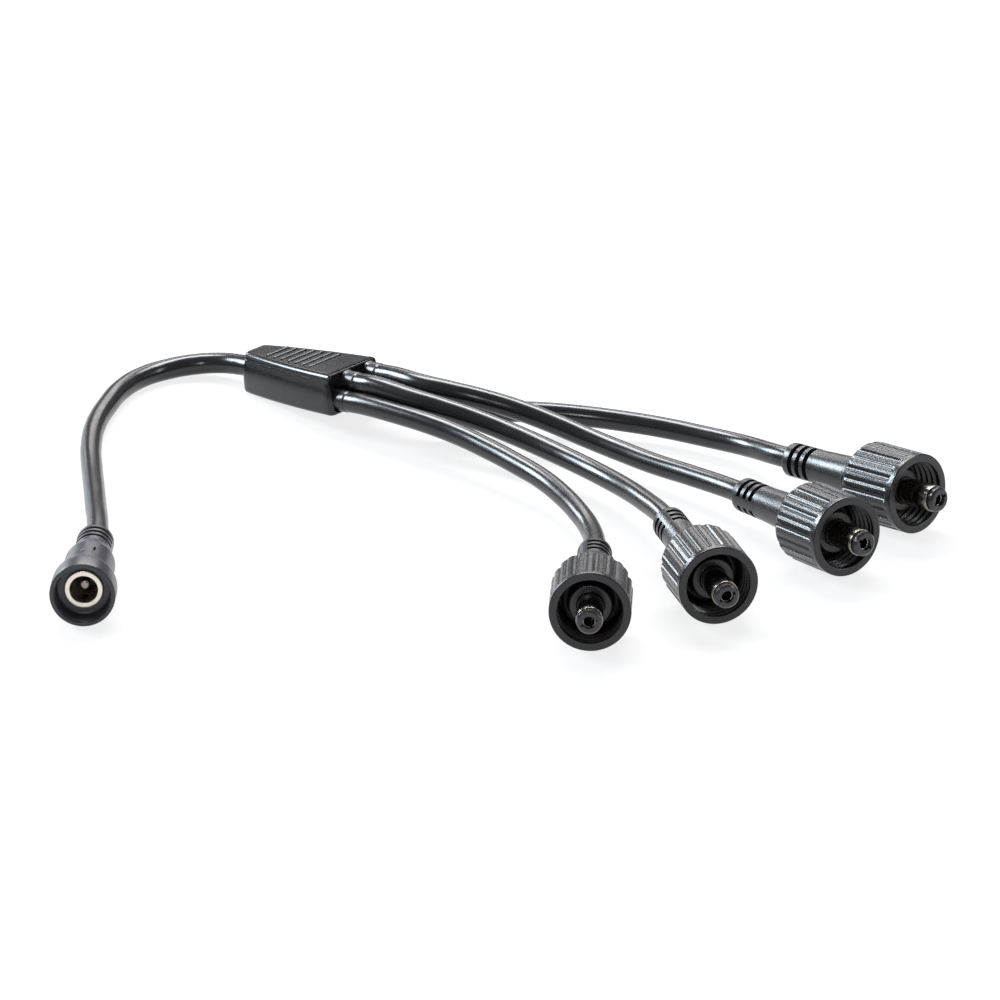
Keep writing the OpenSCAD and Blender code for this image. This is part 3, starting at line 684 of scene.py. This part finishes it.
# Extruded PVC insulation of a core: plain and slightly glossy
CORE = dict(drift=0.05, patch=3, roughness=(0.3, 0.4), grain=0.5, depth=0.004)
FINISHES = {
    # Glass-filled nylon, moulded in a spark-eroded tool: satin, with a fine sandy grain. The
    # real grain is about 0.1 mm. It is drawn at 0.32 mm so that it shows.
    "spark_eroded_nylon": dict(drift=0.12, patch=6, roughness=(0.2, 0.32), grain=0.32, depth=0.03),
    # Soft PVC overmoulded on the plug: satin, with a grain like the nut's and flow marks
    "overmoulded_pvc": dict(drift=0.12, patch=4, roughness=(0.24, 0.36), grain=0.35, depth=0.03),
    # Soft PVC overmoulded on the socket: satin and slightly greyer, almost without grain
    "overmoulded_grey_pvc": dict(drift=0.1, patch=5, roughness=(0.26, 0.38), grain=0.5, depth=0.006),
    # PVC moulded round the splices in a polished tool: smooth and satin
    "moulded_block_pvc": dict(drift=0.1, patch=5, roughness=(0.18, 0.28), grain=0.45, depth=0.006),
    # Black PVC of the block's inner moulding: plain and dark
    "moulded_inner_pvc": dict(drift=0.15, patch=3, roughness=(0.24, 0.34), grain=0.3, depth=0.003),
    # Extruded flexible PVC of a lead's jacket: glossy black, very slightly wavy over its cores
    "extruded_pvc_jacket": dict(drift=0.08, patch=7, roughness=(0.2, 0.28), grain=2.2, depth=0.006),
    # Black PBT of a barrel's tip, moulded: smooth, with sharp small highlights
    "moulded_pbt": dict(drift=0.08, patch=2, roughness=(0.2, 0.3), grain=0.3, depth=0.003),
    # Moulded nitrile rubber of the seal ring: black and dull
    "moulded_nitrile": dict(drift=0.1, patch=2, roughness=(0.5, 0.65), grain=0.25, depth=0.006),
    # Nickel plate on turned brass: slightly warm, with the faint marks of the tool. Its colour is drawn much
    # darker than bright nickel, as painted shade for the dark mouths and bores that it reflects.
    "nickel_plated_brass": dict(drift=0.06, patch=1.5, roughness=(0.14, 0.24), grain=0.3,
                                depth=0.0003, Metallic=1.0),
    # Nickel plate on the drawn brass shell of the socket: pale, with a soft gloss
    "nickel_plated_shell": dict(drift=0.05, patch=1.5, roughness=(0.25, 0.38), grain=0.3,
                                depth=0.003, Metallic=1.0),
    # Polyethylene of the inner mouldings of plugs and socket, really natural white, drawn near-black as painted
    # shade so that the socket's bore looks dark: dull and waxy
    "moulded_polyethylene": dict(drift=0.1, patch=4, roughness=(0.4, 0.55), grain=0.5, depth=0.005),
    "extruded_red_pvc": CORE,
    "extruded_black_pvc": CORE,
    # Tinned brass of the crimp sleeves: dull yellow-grey metal
    "tinned_brass": dict(drift=0.1, patch=2, roughness=(0.3, 0.45), grain=0.3, depth=0.004,
                         Metallic=1.0),
    # Rolled phosphor bronze of the socket's spring: warm and bright
    "rolled_phosphor_bronze": dict(drift=0.06, patch=2, roughness=(0.2, 0.32), grain=0.3,
                                   depth=0.003, Metallic=1.0),
}


def made_of(name, shade):
    """The material of a finish, made in its shade when it is first asked for."""
    return bpy.data.materials.get(name) or moulded(name, shade, **FINISHES[name])


# ---- operators ----

class SPLITTER_OT_stage(Operator):
    """Adds the camera, the floor and the lights"""
    bl_idname = "splitter.stage"
    bl_label = "Stage"

    def execute(self, context):
        stage = context.scene.lead_stage
        view = Vector((-math.sin(stage.azimuth) * math.cos(stage.elevation),
                       math.cos(stage.azimuth) * math.cos(stage.elevation),
                       -math.sin(stage.elevation)))
        camera = bpy.data.cameras.new("camera")
        camera.sensor_width = 36
        camera.lens = camera.sensor_width * stage.distance / stage.width
        camera.clip_end = 20
        eye = bpy.data.objects.new("camera", camera)
        eye.location = Vector(stage.aim) - view * stage.distance
        eye.rotation_euler = view.to_track_quat("-Z", "Y").to_euler()
        context.scene.collection.objects.link(eye)
        context.scene.camera = eye
        self.add_floor(context, stage.floor / 2)
        self.add_lights(context)
        context.scene.view_settings.view_transform = "Standard"
        return {"FINISHED"}

    def add_floor(self, context, half):
        """A white floor that keeps a soft shadow and looks white in views and reflections."""
        mesh = bpy.data.meshes.new("floor")
        mesh.from_pydata([(-half, -half, 0), (half, -half, 0), (half, half, 0), (-half, half, 0)],
                         [], [(0, 1, 2, 3)])
        material = bpy.data.materials.new("white_paper_floor")
        material.use_nodes = True
        tree = material.node_tree
        tree.nodes.clear()
        path = add_node(tree, "ShaderNodeLightPath")
        seen = add_node(tree, MATH, {0: path.outputs["Is Camera Ray"],
                                                 1: path.outputs["Is Glossy Ray"]}, operation="ADD")
        seen = add_node(tree, MATH, {0: seen, 1: path.outputs["Is Transmission Ray"]},
                        operation="ADD", use_clamp=True)
        share = add_node(tree, MATH, {0: seen, 1: 0.8}, operation="MULTIPLY")
        paper = add_node(tree, "ShaderNodeBsdfDiffuse", {"Color": (0.8, 0.8, 0.8, 1)})
        white = add_node(tree, "ShaderNodeEmission", {"Color": (1, 1, 1, 1), "Strength": 1.0})
        mixed = add_node(tree, "ShaderNodeMixShader", {0: share, 1: paper, 2: white})
        add_node(tree, "ShaderNodeOutputMaterial", {"Surface": mixed})
        mesh.materials.append(material)
        floor = bpy.data.objects.new("floor", mesh)
        context.scene.collection.objects.link(floor)

    def add_lights(self, context):
        """A lamp overhead, low ones behind and at each side, a small one in front and a dim sky."""
        world = bpy.data.worlds.new("studio")
        context.scene.world = world
        world.use_nodes = True
        world.node_tree.nodes.clear()
        sky = add_node(world.node_tree, "ShaderNodeBackground",
                       {"Color": (1, 1, 1, 1), "Strength": 0.26})
        add_node(world.node_tree, "ShaderNodeOutputWorld", {"Surface": sky})
        # Name, place, width and height in metres, power in watts and tint
        lamps = (
            ("overhead", (-0.35, 0.4, 0.75), 0.75, 0.3, 14.0, (0.95, 0.97, 1.0)),
            ("back", (-0.57, 0.67, 0.42), 0.5, 0.16, 1.3, (1.0, 0.96, 0.95)),
            ("left", (-0.85, -0.34, 0.5), 0.4, 0.4, 16.0, (0.8, 0.91, 1.0)),
            ("wall", (-1.0, 0.18, 0.27), 0.3, 0.2, 3.0, (0.86, 0.94, 1.0)),
            ("right", (0.8, 0.6, 0.45), 0.2, 0.7, 3.0, (0.93, 0.96, 1.0)),
            ("front", (0.45, -0.85, 0.55), 0.12, 0.12, 1.6, (1.0, 1.0, 1.0)),
        )
        for name, spot, wide, tall, power, tint in lamps:
            lamp = bpy.data.lights.new(name, "AREA")
            lamp.shape = "RECTANGLE"
            lamp.size = wide
            lamp.size_y = tall
            lamp.energy = power
            lamp.color = tint
            obj = bpy.data.objects.new(name, lamp)
            obj.location = spot
            obj.rotation_euler = (-Vector(spot)).to_track_quat("-Z", "Y").to_euler()
            context.scene.collection.objects.link(obj)


class SPLITTER_OT_leads(Operator):
    """Adds the main lead and the four branch leads"""
    bl_idname = "splitter.leads"
    bl_label = "Leads"

    def execute(self, context):
        cable = Millimetres(context.scene.lead_cable)
        block = Millimetres(context.scene.lead_block)
        material = made_of("extruded_pvc_jacket", context.scene.lead_finish.jacket)
        box = block_place()
        boot_end = block.length - block.recess + block.boot
        holes = lead_holes()
        for number in PLUGS:
            across, up = holes[LEAD_HOLE[number]]
            inner = [box @ Vector((x, across, up))
                     for x in (boot_end - cable.in_wide_end, boot_end, boot_end + STRAIGHT)]
            plug = plug_place(number)
            outer = [plug @ Vector((0, 0, z)) for z in (-STRAIGHT, 0, cable.in_plug)]
            self.add_lead(context, f"branch_lead_{number}", inner + BRANCH[number] + outer,
                          inner[1], LEAD_LENGTH[number], material)
        inner = [box @ Vector((x, 0, block.height / 2))
                 for x in (cable.in_narrow_end, 0, -MAIN_STRAIGHT)]
        socket = socket_place()
        outer = [socket @ Vector((0, 0, z)) for z in (-STRAIGHT, 0, cable.in_socket)]
        self.add_lead(context, "main_lead", inner + MAIN + outer, inner[1],
                      LEAD_LENGTH["main"], material)
        return {"FINISHED"}

    def add_lead(self, context, name, route, start, real_length, material):
        """One lead as a smooth round cord along its route."""
        diameter = context.scene.lead_cable.diameter
        curve = bpy.data.curves.new(f"{name}_cord", "CURVE")
        curve.dimensions = "3D"
        curve.bevel_depth = diameter / 2
        curve.bevel_resolution = 10
        curve.resolution_u = 10
        curve.use_fill_caps = True
        spline = curve.splines.new("BEZIER")
        spline.bezier_points.add(len(route) - 1)
        for point, spot in zip(spline.bezier_points, route):
            point.co = spot
            point.handle_left_type = point.handle_right_type = "AUTO"
        curve.materials.append(material)
        obj = bpy.data.objects.new(f"{name}_cord", curve)
        context.scene.collection.objects.link(obj)
        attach(obj, HARNESS)
        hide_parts(name)


class SPLITTER_OT_nuts(Operator):
    """Adds the four coupling nuts"""
    bl_idname = "splitter.nuts"
    bl_label = "Coupling nuts"

    def execute(self, context):
        nut = Millimetres(context.scene.lead_nuts)
        material = made_of("spark_eroded_nylon", context.scene.lead_finish.nut)
        grooves = grip_grooves_tree()
        thread = thread_tree()
        radius = nut.od / 2
        root = nut.bore / 2 + nut.thread
        back = nut.middle - nut.length / 2
        profile = finer(rounded([
            (nut.neck / 2, 0, 0.2),
            (radius, 0, 2.6),
            (radius, nut.length, 0.3),
            (nut.bore / 2 + 0.15, nut.length, 0.2),
            (nut.bore / 2 + 0.15, nut.length - 0.6, 0),
            (root, nut.length - 1.0, 0),
            (root, nut.lip, 0.3),
            (nut.neck / 2, nut.lip, 0.2),
        ], steps=10), 0.35)
        for number in PLUGS:
            mesh = turned(profile, even_angles(32 * nut.grooves))
            mesh = grown(mesh, grooves, Count=nut.grooves, Radius=radius, Deep=nut.deep,
                         Shallow=nut.shallow, Round=nut.groove_round, Front=nut.length - nut.rim,
                         Fade=nut.fade, Material=material)
            mesh = grown(mesh, thread, Turns=float(nut.turns), Pitch=nut.pitch, Radius=root,
                         Depth=nut.thread, Material=material,
                         Start=nut.length - nut.thread_front - nut.turns * nut.pitch)
            place = plug_place(number) @ Matrix.Translation((0, 0, back))
            piece(f"nut_{number}", mesh, place, material,
                  [f"coupling_nut_{number}"], body=f"nut_{number}", crease=40)
        return {"FINISHED"}


def slot_edges(relief, radius):
    """Lengths and angles just either side of the edges of the slots in a strain relief."""
    thin = 0.03
    lengths = []
    for k in range(relief.count):
        start = relief.first + k * relief.pitch
        end = start + relief.width
        lengths += [start - thin, start + thin, end - thin, end + thin]
    edge = math.acos(relief.web / 2 / radius)
    angles = [side * edge + turn + nudge for side in (-1, 1) for turn in (0, math.pi)
              for nudge in (-0.004, 0.004)]
    return lengths, [a % math.tau for a in angles]


def slotted(profile, relief, radius, material, tree, count=96):
    """A turned body with the slots of its strain relief sunk in."""
    lengths, angles = slot_edges(relief, radius)
    points = []
    for i, point in enumerate(profile):
        after = profile[(i + 1) % len(profile)]
        points.append(point)
        if min(point.x, after.x) > relief.floor / 2 and after.y > point.y:
            inside = [z for z in lengths if point.y < z < after.y]
            points += [point.lerp(after, (z - point.y) / (after.y - point.y)) for z in inside]
    mesh = turned(points, sorted(even_angles(count) + angles))
    return grown(mesh, tree, First=relief.first, Pitch=relief.pitch, Width=relief.width,
                 Count=relief.count, Web=relief.web, Floor=relief.floor / 2, Material=material)


class SPLITTER_OT_plug_bodies(Operator):
    """Adds the four moulded plug bodies with their strain reliefs and seal rings"""
    bl_idname = "splitter.plug_bodies"
    bl_label = "Plug bodies"

    def execute(self, context):
        plug = Millimetres(context.scene.lead_plugs)
        relief = Millimetres(context.scene.lead_relief)
        nut = Millimetres(context.scene.lead_nuts)
        cable = Millimetres(context.scene.lead_cable)
        finish = context.scene.lead_finish
        material = made_of("overmoulded_pvc", finish.body)
        rubber = made_of("moulded_nitrile", finish.seal)
        slots = relief_slots_tree()
        back = nut.middle - nut.length / 2
        flange = plug.length - plug.flange_back
        step = back - plug.step_back
        hole = cable.diameter / 2 + LEAD_GAP
        front = plug.barrel / 2 + LEAD_GAP + SEAT
        neck = plug.neck / 2
        profile = rounded([
            (hole, 0, 0.15),
            (plug.relief / 2, 0, 0.95),
            (plug.relief / 2, plug.relief_length, 2),
            (plug.body / 2, step, 0.1),
            (neck, step + 0.35, 0.15),
            (neck, step + 1.1, 0.05),
            (neck - 0.15, step + 1.2, 0),
            (neck - 0.15, step + 1.4, 0),
            (neck, step + 1.5, 0.05),
            (neck, flange, 0.1),
            (plug.flange / 2, flange, 0.3),
            (plug.flange / 2, flange + plug.flange_length, 0.2),
            (plug.boss / 2, flange + plug.flange_length, 0.15),
            (plug.boss / 2, plug.length, 0.35),
            (front, plug.length, 0.12),
            (front, plug.length - plug.tip_root, 0),
            (0, plug.length - plug.tip_root, 0),
            (0, cable.in_plug + 0.2, 0),
            (hole, cable.in_plug + 0.2, 0),
        ])
        cord = plug.seal / 2
        ring = [Vector((plug.boss / 2 + SEAT + cord + cord * math.cos(a),
                        flange + plug.flange_length + cord + cord * math.sin(a)))
                for a in even_angles(20)]
        for number in PLUGS:
            place = plug_place(number, RELIEF_ROLL)
            mesh = slotted(profile, relief, plug.relief / 2, material, slots)
            piece(f"plug_{number}_body", mesh, place, material,
                  [f"plug_body_{number}"])
            piece(f"plug_{number}_seal", turned(ring, even_angles(64)), place, rubber,
                  [f"seal_ring_{number}"])
        return {"FINISHED"}


class SPLITTER_OT_barrels(Operator):
    """Adds the four barrels: sleeve, insulating tip and forked centre contact"""
    bl_idname = "splitter.barrels"
    bl_label = "Barrels"

    def execute(self, context):
        plug = Millimetres(context.scene.lead_plugs)
        finish = context.scene.lead_finish
        # Painted shade: the barrels' nickel is drawn dark to stand for the dark mouths that it reflects
        nickel = made_of("nickel_plated_brass", finish.nickel)
        plastic = made_of("moulded_pbt", finish.tip)
        parts = (
            ("sleeve", self.sleeve, nickel, "nickel_plate", "barrel_sleeve"),
            ("tip", self.tip, plastic, "tip_plastic", "tip_insulator"),
            ("contact", self.contact, nickel, "contact_plate", "centre_contact"),
        )
        for number in PLUGS:
            for part, shape, material, slot, node in parts:
                piece(f"plug_{number}_{part}", shape(plug), plug_place(number), material,
                      [f"{node}_{number}"])
        return {"FINISHED"}

    def sleeve(self, plug):
        """A thin tube with a rolled bead at its front edge."""
        radius = plug.barrel / 2
        end = plug.length + plug.barrel_out - plug.tip - 0.3
        return turned(rounded([
            (radius - plug.barrel_wall, plug.length - plug.sleeve_root, 0),
            (radius, plug.length - plug.sleeve_root, 0),
            (radius, end - 0.5, 0.04),
            (radius - 0.08, end - 0.44, 0.03),
            (radius - 0.08, end - 0.36, 0.03),
            (radius, end - 0.3, 0.06),
            (radius - 0.02, end, 0.14),
            (radius - plug.barrel_wall, end, 0.1),
        ]), even_angles(72))

    def tip(self, plug):
        """A black insulator whose chamfered head has the hole and a slot to each side."""
        radius = plug.barrel / 2
        head = plug.length + plug.barrel_out - plug.tip
        front = plug.length + plug.barrel_out
        inner = plug.hole / 2 + plug.contact_wall + SEAT
        outer = radius - plug.barrel_wall - SEAT
        solid = turned(rounded([
            (inner, plug.length - plug.tip_root, 0),
            (outer, plug.length - plug.tip_root, 0),
            (outer, head, 0.05),
            (radius - 0.2, head, 0.1),
            (radius - 0.2, front - 0.42, 0.1),
            (radius - 0.62, front, 0.1),
            (plug.hole / 2 + 0.2, front, 0.12),
            (plug.hole / 2 + 0.2, head + 0.45, 0),
            (inner, head + 0.45, 0),
        ]), even_angles(72))
        return cut(solid, box_mesh((-1.75, -0.33, head + 0.5), (1.75, 0.33, front + 1)))

    def contact(self, plug):
        """A forked tube: two halves with rounded ends, seen through the tip."""
        front = plug.length + plug.barrel_out - plug.tip + 0.4
        outer = plug.hole / 2 + plug.contact_wall
        solid = turned(rounded([
            (0, plug.length - plug.contact_root, 0),
            (outer, plug.length - plug.contact_root, 0),
            (outer, front, 0.12),
            (plug.hole / 2, front, 0.2),
            (plug.hole / 2, plug.length, 0),
            (0, plug.length, 0),
        ]), even_angles(48))
        return cut(solid, box_mesh((-0.25, -3, front - plug.slit), (0.25, 3, front + 1)))


class SPLITTER_OT_socket(Operator):
    """Adds the socket: its body, its metal shell and its centre pin"""
    bl_idname = "splitter.socket"
    bl_label = "Socket"

    def execute(self, context):
        socket = Millimetres(context.scene.lead_socket)
        finish = context.scene.lead_finish
        place = socket_place()
        material = made_of("overmoulded_grey_pvc", finish.socket)
        piece("socket_moulding", self.body(context, socket, material), place, material,
              ["socket_body"])
        piece("socket_metal_shell", self.shell(socket), place,
              made_of("nickel_plated_shell", finish.shell), ["socket_shell"])
        piece("socket_centre_pin", self.pin(socket), place,
              made_of("nickel_plated_brass", finish.nickel), ["socket_pin"])
        return {"FINISHED"}

    def body(self, context, socket, material):
        """The moulded body with its slotted strain relief, its cup, the index line and the dot."""
        relief = Millimetres(context.scene.lead_relief)
        cable = Millimetres(context.scene.lead_cable)
        body = socket.body / 2
        collar = socket.collar / 2
        collar_start = socket.length - socket.collar_length
        floor = socket.length - socket.cup_depth
        shell = socket.shell / 2 + SEAT
        hole = cable.diameter / 2 + LEAD_GAP
        profile = rounded([
            (hole, 0, 0.15),
            (socket.relief / 2, 0, 1),
            (socket.relief / 2, socket.relief_length, 2.5),
            (body, socket.body_start, 5),
            (body, collar_start - 2.2, 4),
            (collar, collar_start + 1.2, 4),
            (collar, socket.length, 0.3),
            (collar - socket.cup_wall, socket.length, 0.25),
            (collar - socket.cup_wall - 0.35, floor, 0.6),
            (shell, floor, 0.05),
            (shell, socket.shell_root, 0),
            (0, socket.shell_root, 0),
            (0, cable.in_socket + 0.2, 0),
            (hole, cable.in_socket + 0.2, 0),
        ], steps=7)
        solid = slotted(profile, relief, socket.relief / 2, material, relief_slots_tree(),
                        count=120)
        line = box_mesh((body - 0.45, -0.24, collar_start - 8), (body + 1, 0.24, collar_start - 2.8))
        line.transform(Matrix.Rotation(math.radians(165), 4, "Z"))
        solid = cut(solid, line)
        shape = bmesh.new()
        shape.from_mesh(solid)
        lie = Matrix.Rotation(math.radians(190), 4, "Z")
        lie = lie @ Matrix.Translation((body, 0, collar_start - 5.5))
        bmesh.ops.create_icosphere(shape, subdivisions=3, radius=0.4,
                                   matrix=lie @ Matrix.Diagonal((0.5, 1, 1, 1)))
        shape.to_mesh(solid)
        shape.free()
        return solid

    def shell(self, socket):
        """The metal shell, with a rounded face."""
        root = socket.shell_root + SEAT
        face = socket.length - socket.shell_back
        return turned(rounded([
            (socket.shell_bore / 2, root, 0),
            (socket.shell / 2, root, 0),
            (socket.shell / 2, face, 0.25),
            (socket.shell_bore / 2, face, 0.2),
        ]), even_angles(96))

    def pin(self, socket):
        """The centre pin, with a rounded end."""
        radius = socket.pin / 2
        end = socket.pin_base + socket.pin_length
        return turned(rounded([
            (0, socket.pin_base - 4.5, 0),
            (radius + 0.2, socket.pin_base - 4.5, 0),
            (radius + 0.2, socket.pin_base, 0),
            (radius, socket.pin_base, 0),
            (radius, end, 0.55),
            (0, end, 0),
        ], steps=8), even_angles(48))


class SPLITTER_OT_block(Operator):
    """Adds the splitter block: its ridged cover and the inner moulding with its boots"""
    bl_idname = "splitter.block"
    bl_label = "Splitter block"

    def execute(self, context):
        block = Millimetres(context.scene.lead_block)
        finish = context.scene.lead_finish
        place = block_place()
        material = made_of("moulded_block_pvc", finish.block)
        piece("block_outer_moulding", self.cover(block, material), place, material,
              ["block_cover"], crease=38)
        piece("block_inner_moulding", self.inner(context, block), place,
              made_of("moulded_inner_pvc", finish.inner),
              ["block_premould"])
        return {"FINISHED"}

    def outline(self, block):
        """Plan of the block, narrow end at x = 0, as points with their outward directions."""
        narrow = block.narrow / 2
        wide = block.wide / 2

        def arc(radius, centre, start, end):
            """Nine points of a corner, from one angle to another."""
            angles = [math.radians(start + (end - start) * k / 8) for k in range(9)]
            return [Vector((centre[0] + radius * math.cos(a), centre[1] + radius * math.sin(a)))
                    for a in angles]

        nose = arc(block.nose, (block.nose, narrow - block.nose + 0.6), 180, 105)
        corner = arc(block.corner, (block.length - block.corner, wide - block.corner), 78, 0)
        bend = Vector((block.length * 0.5, (narrow + wide) / 2 + 1.4))
        side = [nose[-1] * (1 - t) ** 2 + bend * 2 * t * (1 - t) + corner[0] * t ** 2
                for t in (k / 24 for k in range(1, 24))]
        half = nose + side + corner
        points = half + [Vector((p.x, -p.y)) for p in reversed(half)]
        outward = []
        for i, point in enumerate(points):
            along = points[(i + 1) % len(points)] - points[i - 1]
            outward.append(Vector((-along.y, along.x)).normalized())
        return points, outward

    def cover(self, block, material):
        """The outer moulding: rounded above and below, with a fine groove under its top edge."""
        points, outward = self.outline(block)
        top = block.height
        # How far in from the outline, and how high, each ring of the cover lies
        rise = [(block.foot_edge * (1 - math.sin(math.radians(a))),
                 block.foot_edge * (1 - math.cos(math.radians(a)))) for a in range(0, 91, 15)]
        sides = [top * (0.3 + 0.08 * k) for k in range(7)]
        rise += [(0.7 * ((h - top * 0.25) / (top * 0.55)) ** 2, h) for h in sides]
        rise += [(0.72, top - 1.6), (0.86, top - 1.52), (0.86, top - 1.42), (0.76, top - 1.3)]
        rise += [(0.76 + block.edge * (1 - math.cos(math.radians(a))),
                  top - block.edge * (1 - math.sin(math.radians(a)))) for a in range(10, 91, 10)]
        shape = bmesh.new()
        rings = [[shape.verts.new((p.x - o.x * inset, p.y - o.y * inset, height))
                  for p, o in zip(points, outward)] for inset, height in rise]
        skin(shape, rings)
        shape.faces.new(rings[0])
        shape.faces.new(rings[-1])
        bore = turned([Vector(p) for p in ((0, -1), (2.25, -1), (2.25, 6), (0, 6))], even_angles(48))
        bore.transform(Matrix.Translation((0, 0, top / 2)) @ Matrix.Rotation(math.pi / 2, 4, "Y"))
        solid = cut(closed_mesh(shape), self.recess_cutter(block), bore)
        solid = evaluated(solid, "BEVEL", {"width": 0.18, "segments": 3, "limit_method": "ANGLE",
                                           "angle_limit": math.radians(50)})
        first = block.length / 2 - (block.ridges - 1) / 2 * block.ridge_pitch - 0.4
        # A ridge spans this share of the block's width
        share = 0.72
        slope = (block.wide - block.narrow) / block.length * share
        return grown(solid, grip_ridges_tree(), Count=block.ridges, Pitch=block.ridge_pitch,
                     First=first, Top=top, Height=block.ridge_height,
                     Length=block.narrow * share + slope * first,
                     Growth=slope * block.ridge_pitch, Radius=block.ridge_round,
                     Material=material)

    def recess_cutter(self, block):
        """The rounded pocket round the four leads."""
        corner = 1.5
        across = block.wide / 2 - block.side_lip - corner
        up = block.height / 2 - block.top_lip - corner
        section = []
        for quarter, (sy, sz) in enumerate(((1, 1), (-1, 1), (-1, -1), (1, -1))):
            for k in range(7):
                a = math.radians(quarter * 90 + k * 15)
                section.append((sy * across + corner * math.cos(a),
                                sz * up + corner * math.sin(a) + block.height / 2))
        shape = bmesh.new()
        ends = [[shape.verts.new((x, y, z)) for y, z in section]
                for x in (block.length - block.recess, block.length + 2)]
        skin(shape, ends)
        shape.faces.new(ends[0])
        shape.faces.new(ends[1])
        return closed_mesh(shape)

    def inner(self, context, block):
        """The floor of the recess, and round each lead a boot with a step that tapers onto it."""
        cable = context.scene.lead_cable.diameter / MM / 2
        shape = bmesh.new()
        floor = block.length - block.recess
        end = floor + block.boot
        shape.from_mesh(box_mesh((floor - 3, -block.wide / 2 + 1.4, 1.1),
                                 (floor + SEAT, block.wide / 2 - 1.4, block.height - 1.1)))
        boot = turned(rounded([
            (cable + 0.03, floor - 1, 0),
            (cable + block.boot_wall + 0.15, floor - 1, 0),
            (cable + block.boot_wall + 0.15, floor + 0.6, 0.2),
            (cable + block.boot_wall, floor + 1.4, 0.4),
            (cable + block.boot_wall, end - 0.6, 0.3),
            (cable - 0.03, end, 0),
        ]), even_angles(48))
        for across, up in lead_holes():
            copy = boot.copy()
            copy.transform(Matrix.Translation((0, across, up)) @ Matrix.Rotation(math.pi / 2, 4, "Y"))
            shape.from_mesh(copy)
        mesh = bpy.data.meshes.new("inner")
        shape.to_mesh(mesh)
        shape.free()
        return mesh


class SPLITTER_OT_inner_pieces(Operator):
    """Finishes the sealed inner pieces, which keep their shape from the frame"""
    bl_idname = "splitter.inner_pieces"
    bl_label = "Inner pieces"

    def execute(self, context):
        finish = context.scene.lead_finish
        # Painted shade: the premoulds are near-black so that the socket's bore looks dark
        inside = made_of("moulded_polyethylene", finish.premould)
        red = made_of("extruded_red_pvc", finish.red)
        black = made_of("extruded_black_pvc", finish.black)
        brass = made_of("tinned_brass", finish.splice)
        bronze = made_of("rolled_phosphor_bronze", finish.spring)
        finishes = {"socket_premould": inside, "socket_cores": red, "socket_spring": bronze,
                    "splice_positive": brass, "splice_negative": brass,
                    "cores_positive": red, "cores_negative": black}
        for number in PLUGS:
            finishes[f"plug_premould_{number}"] = inside
            finishes[f"plug_cores_{number}"] = red
        for name, material in finishes.items():
            mesh = frame["nodes"][name].data
            mesh.materials.clear()
            mesh.materials.append(material)
        return {"FINISHED"}


class SPLITTER_PT_panel(Panel):
    """Lists the sizes, the colours and the steps that build the lead"""
    bl_idname = "SPLITTER_PT_panel"
    bl_label = "Splitter lead"
    bl_space_type = "VIEW_3D"
    bl_region_type = "UI"
    bl_category = "Splitter lead"

    def draw(self, context):
        for step in STEPS:
            self.layout.operator(step.bl_idname)
        for name, group in GROUPS.items():
            box = self.layout.box()
            box.label(text=group.__doc__)
            for prop in group.__annotations__:
                box.prop(getattr(context.scene, name), prop)


STEPS = (
    SPLITTER_OT_stage,
    SPLITTER_OT_leads,
    SPLITTER_OT_nuts,
    SPLITTER_OT_plug_bodies,
    SPLITTER_OT_barrels,
    SPLITTER_OT_socket,
    SPLITTER_OT_block,
    SPLITTER_OT_inner_pieces,
)
CLASSES = (*GROUPS.values(), *STEPS, SPLITTER_PT_panel)


def register():
    """Registers the classes and hangs the sizes on the scene."""
    for cls in CLASSES:
        bpy.utils.register_class(cls)
    for name, group in GROUPS.items():
        setattr(bpy.types.Scene, name, PointerProperty(type=group))


def unregister():
    """Takes the sizes off the scene and drops the classes."""
    for name in GROUPS:
        delattr(bpy.types.Scene, name)
    for cls in reversed(CLASSES):
        bpy.utils.unregister_class(cls)


def main():
    """Builds the lead."""
    register()
    bpy.ops.splitter.stage()
    bpy.ops.splitter.leads()
    bpy.ops.splitter.nuts()
    bpy.ops.splitter.plug_bodies()
    bpy.ops.splitter.barrels()
    bpy.ops.splitter.socket()
    bpy.ops.splitter.block()
    bpy.ops.splitter.inner_pieces()


if __name__ == "__main__":
    main()
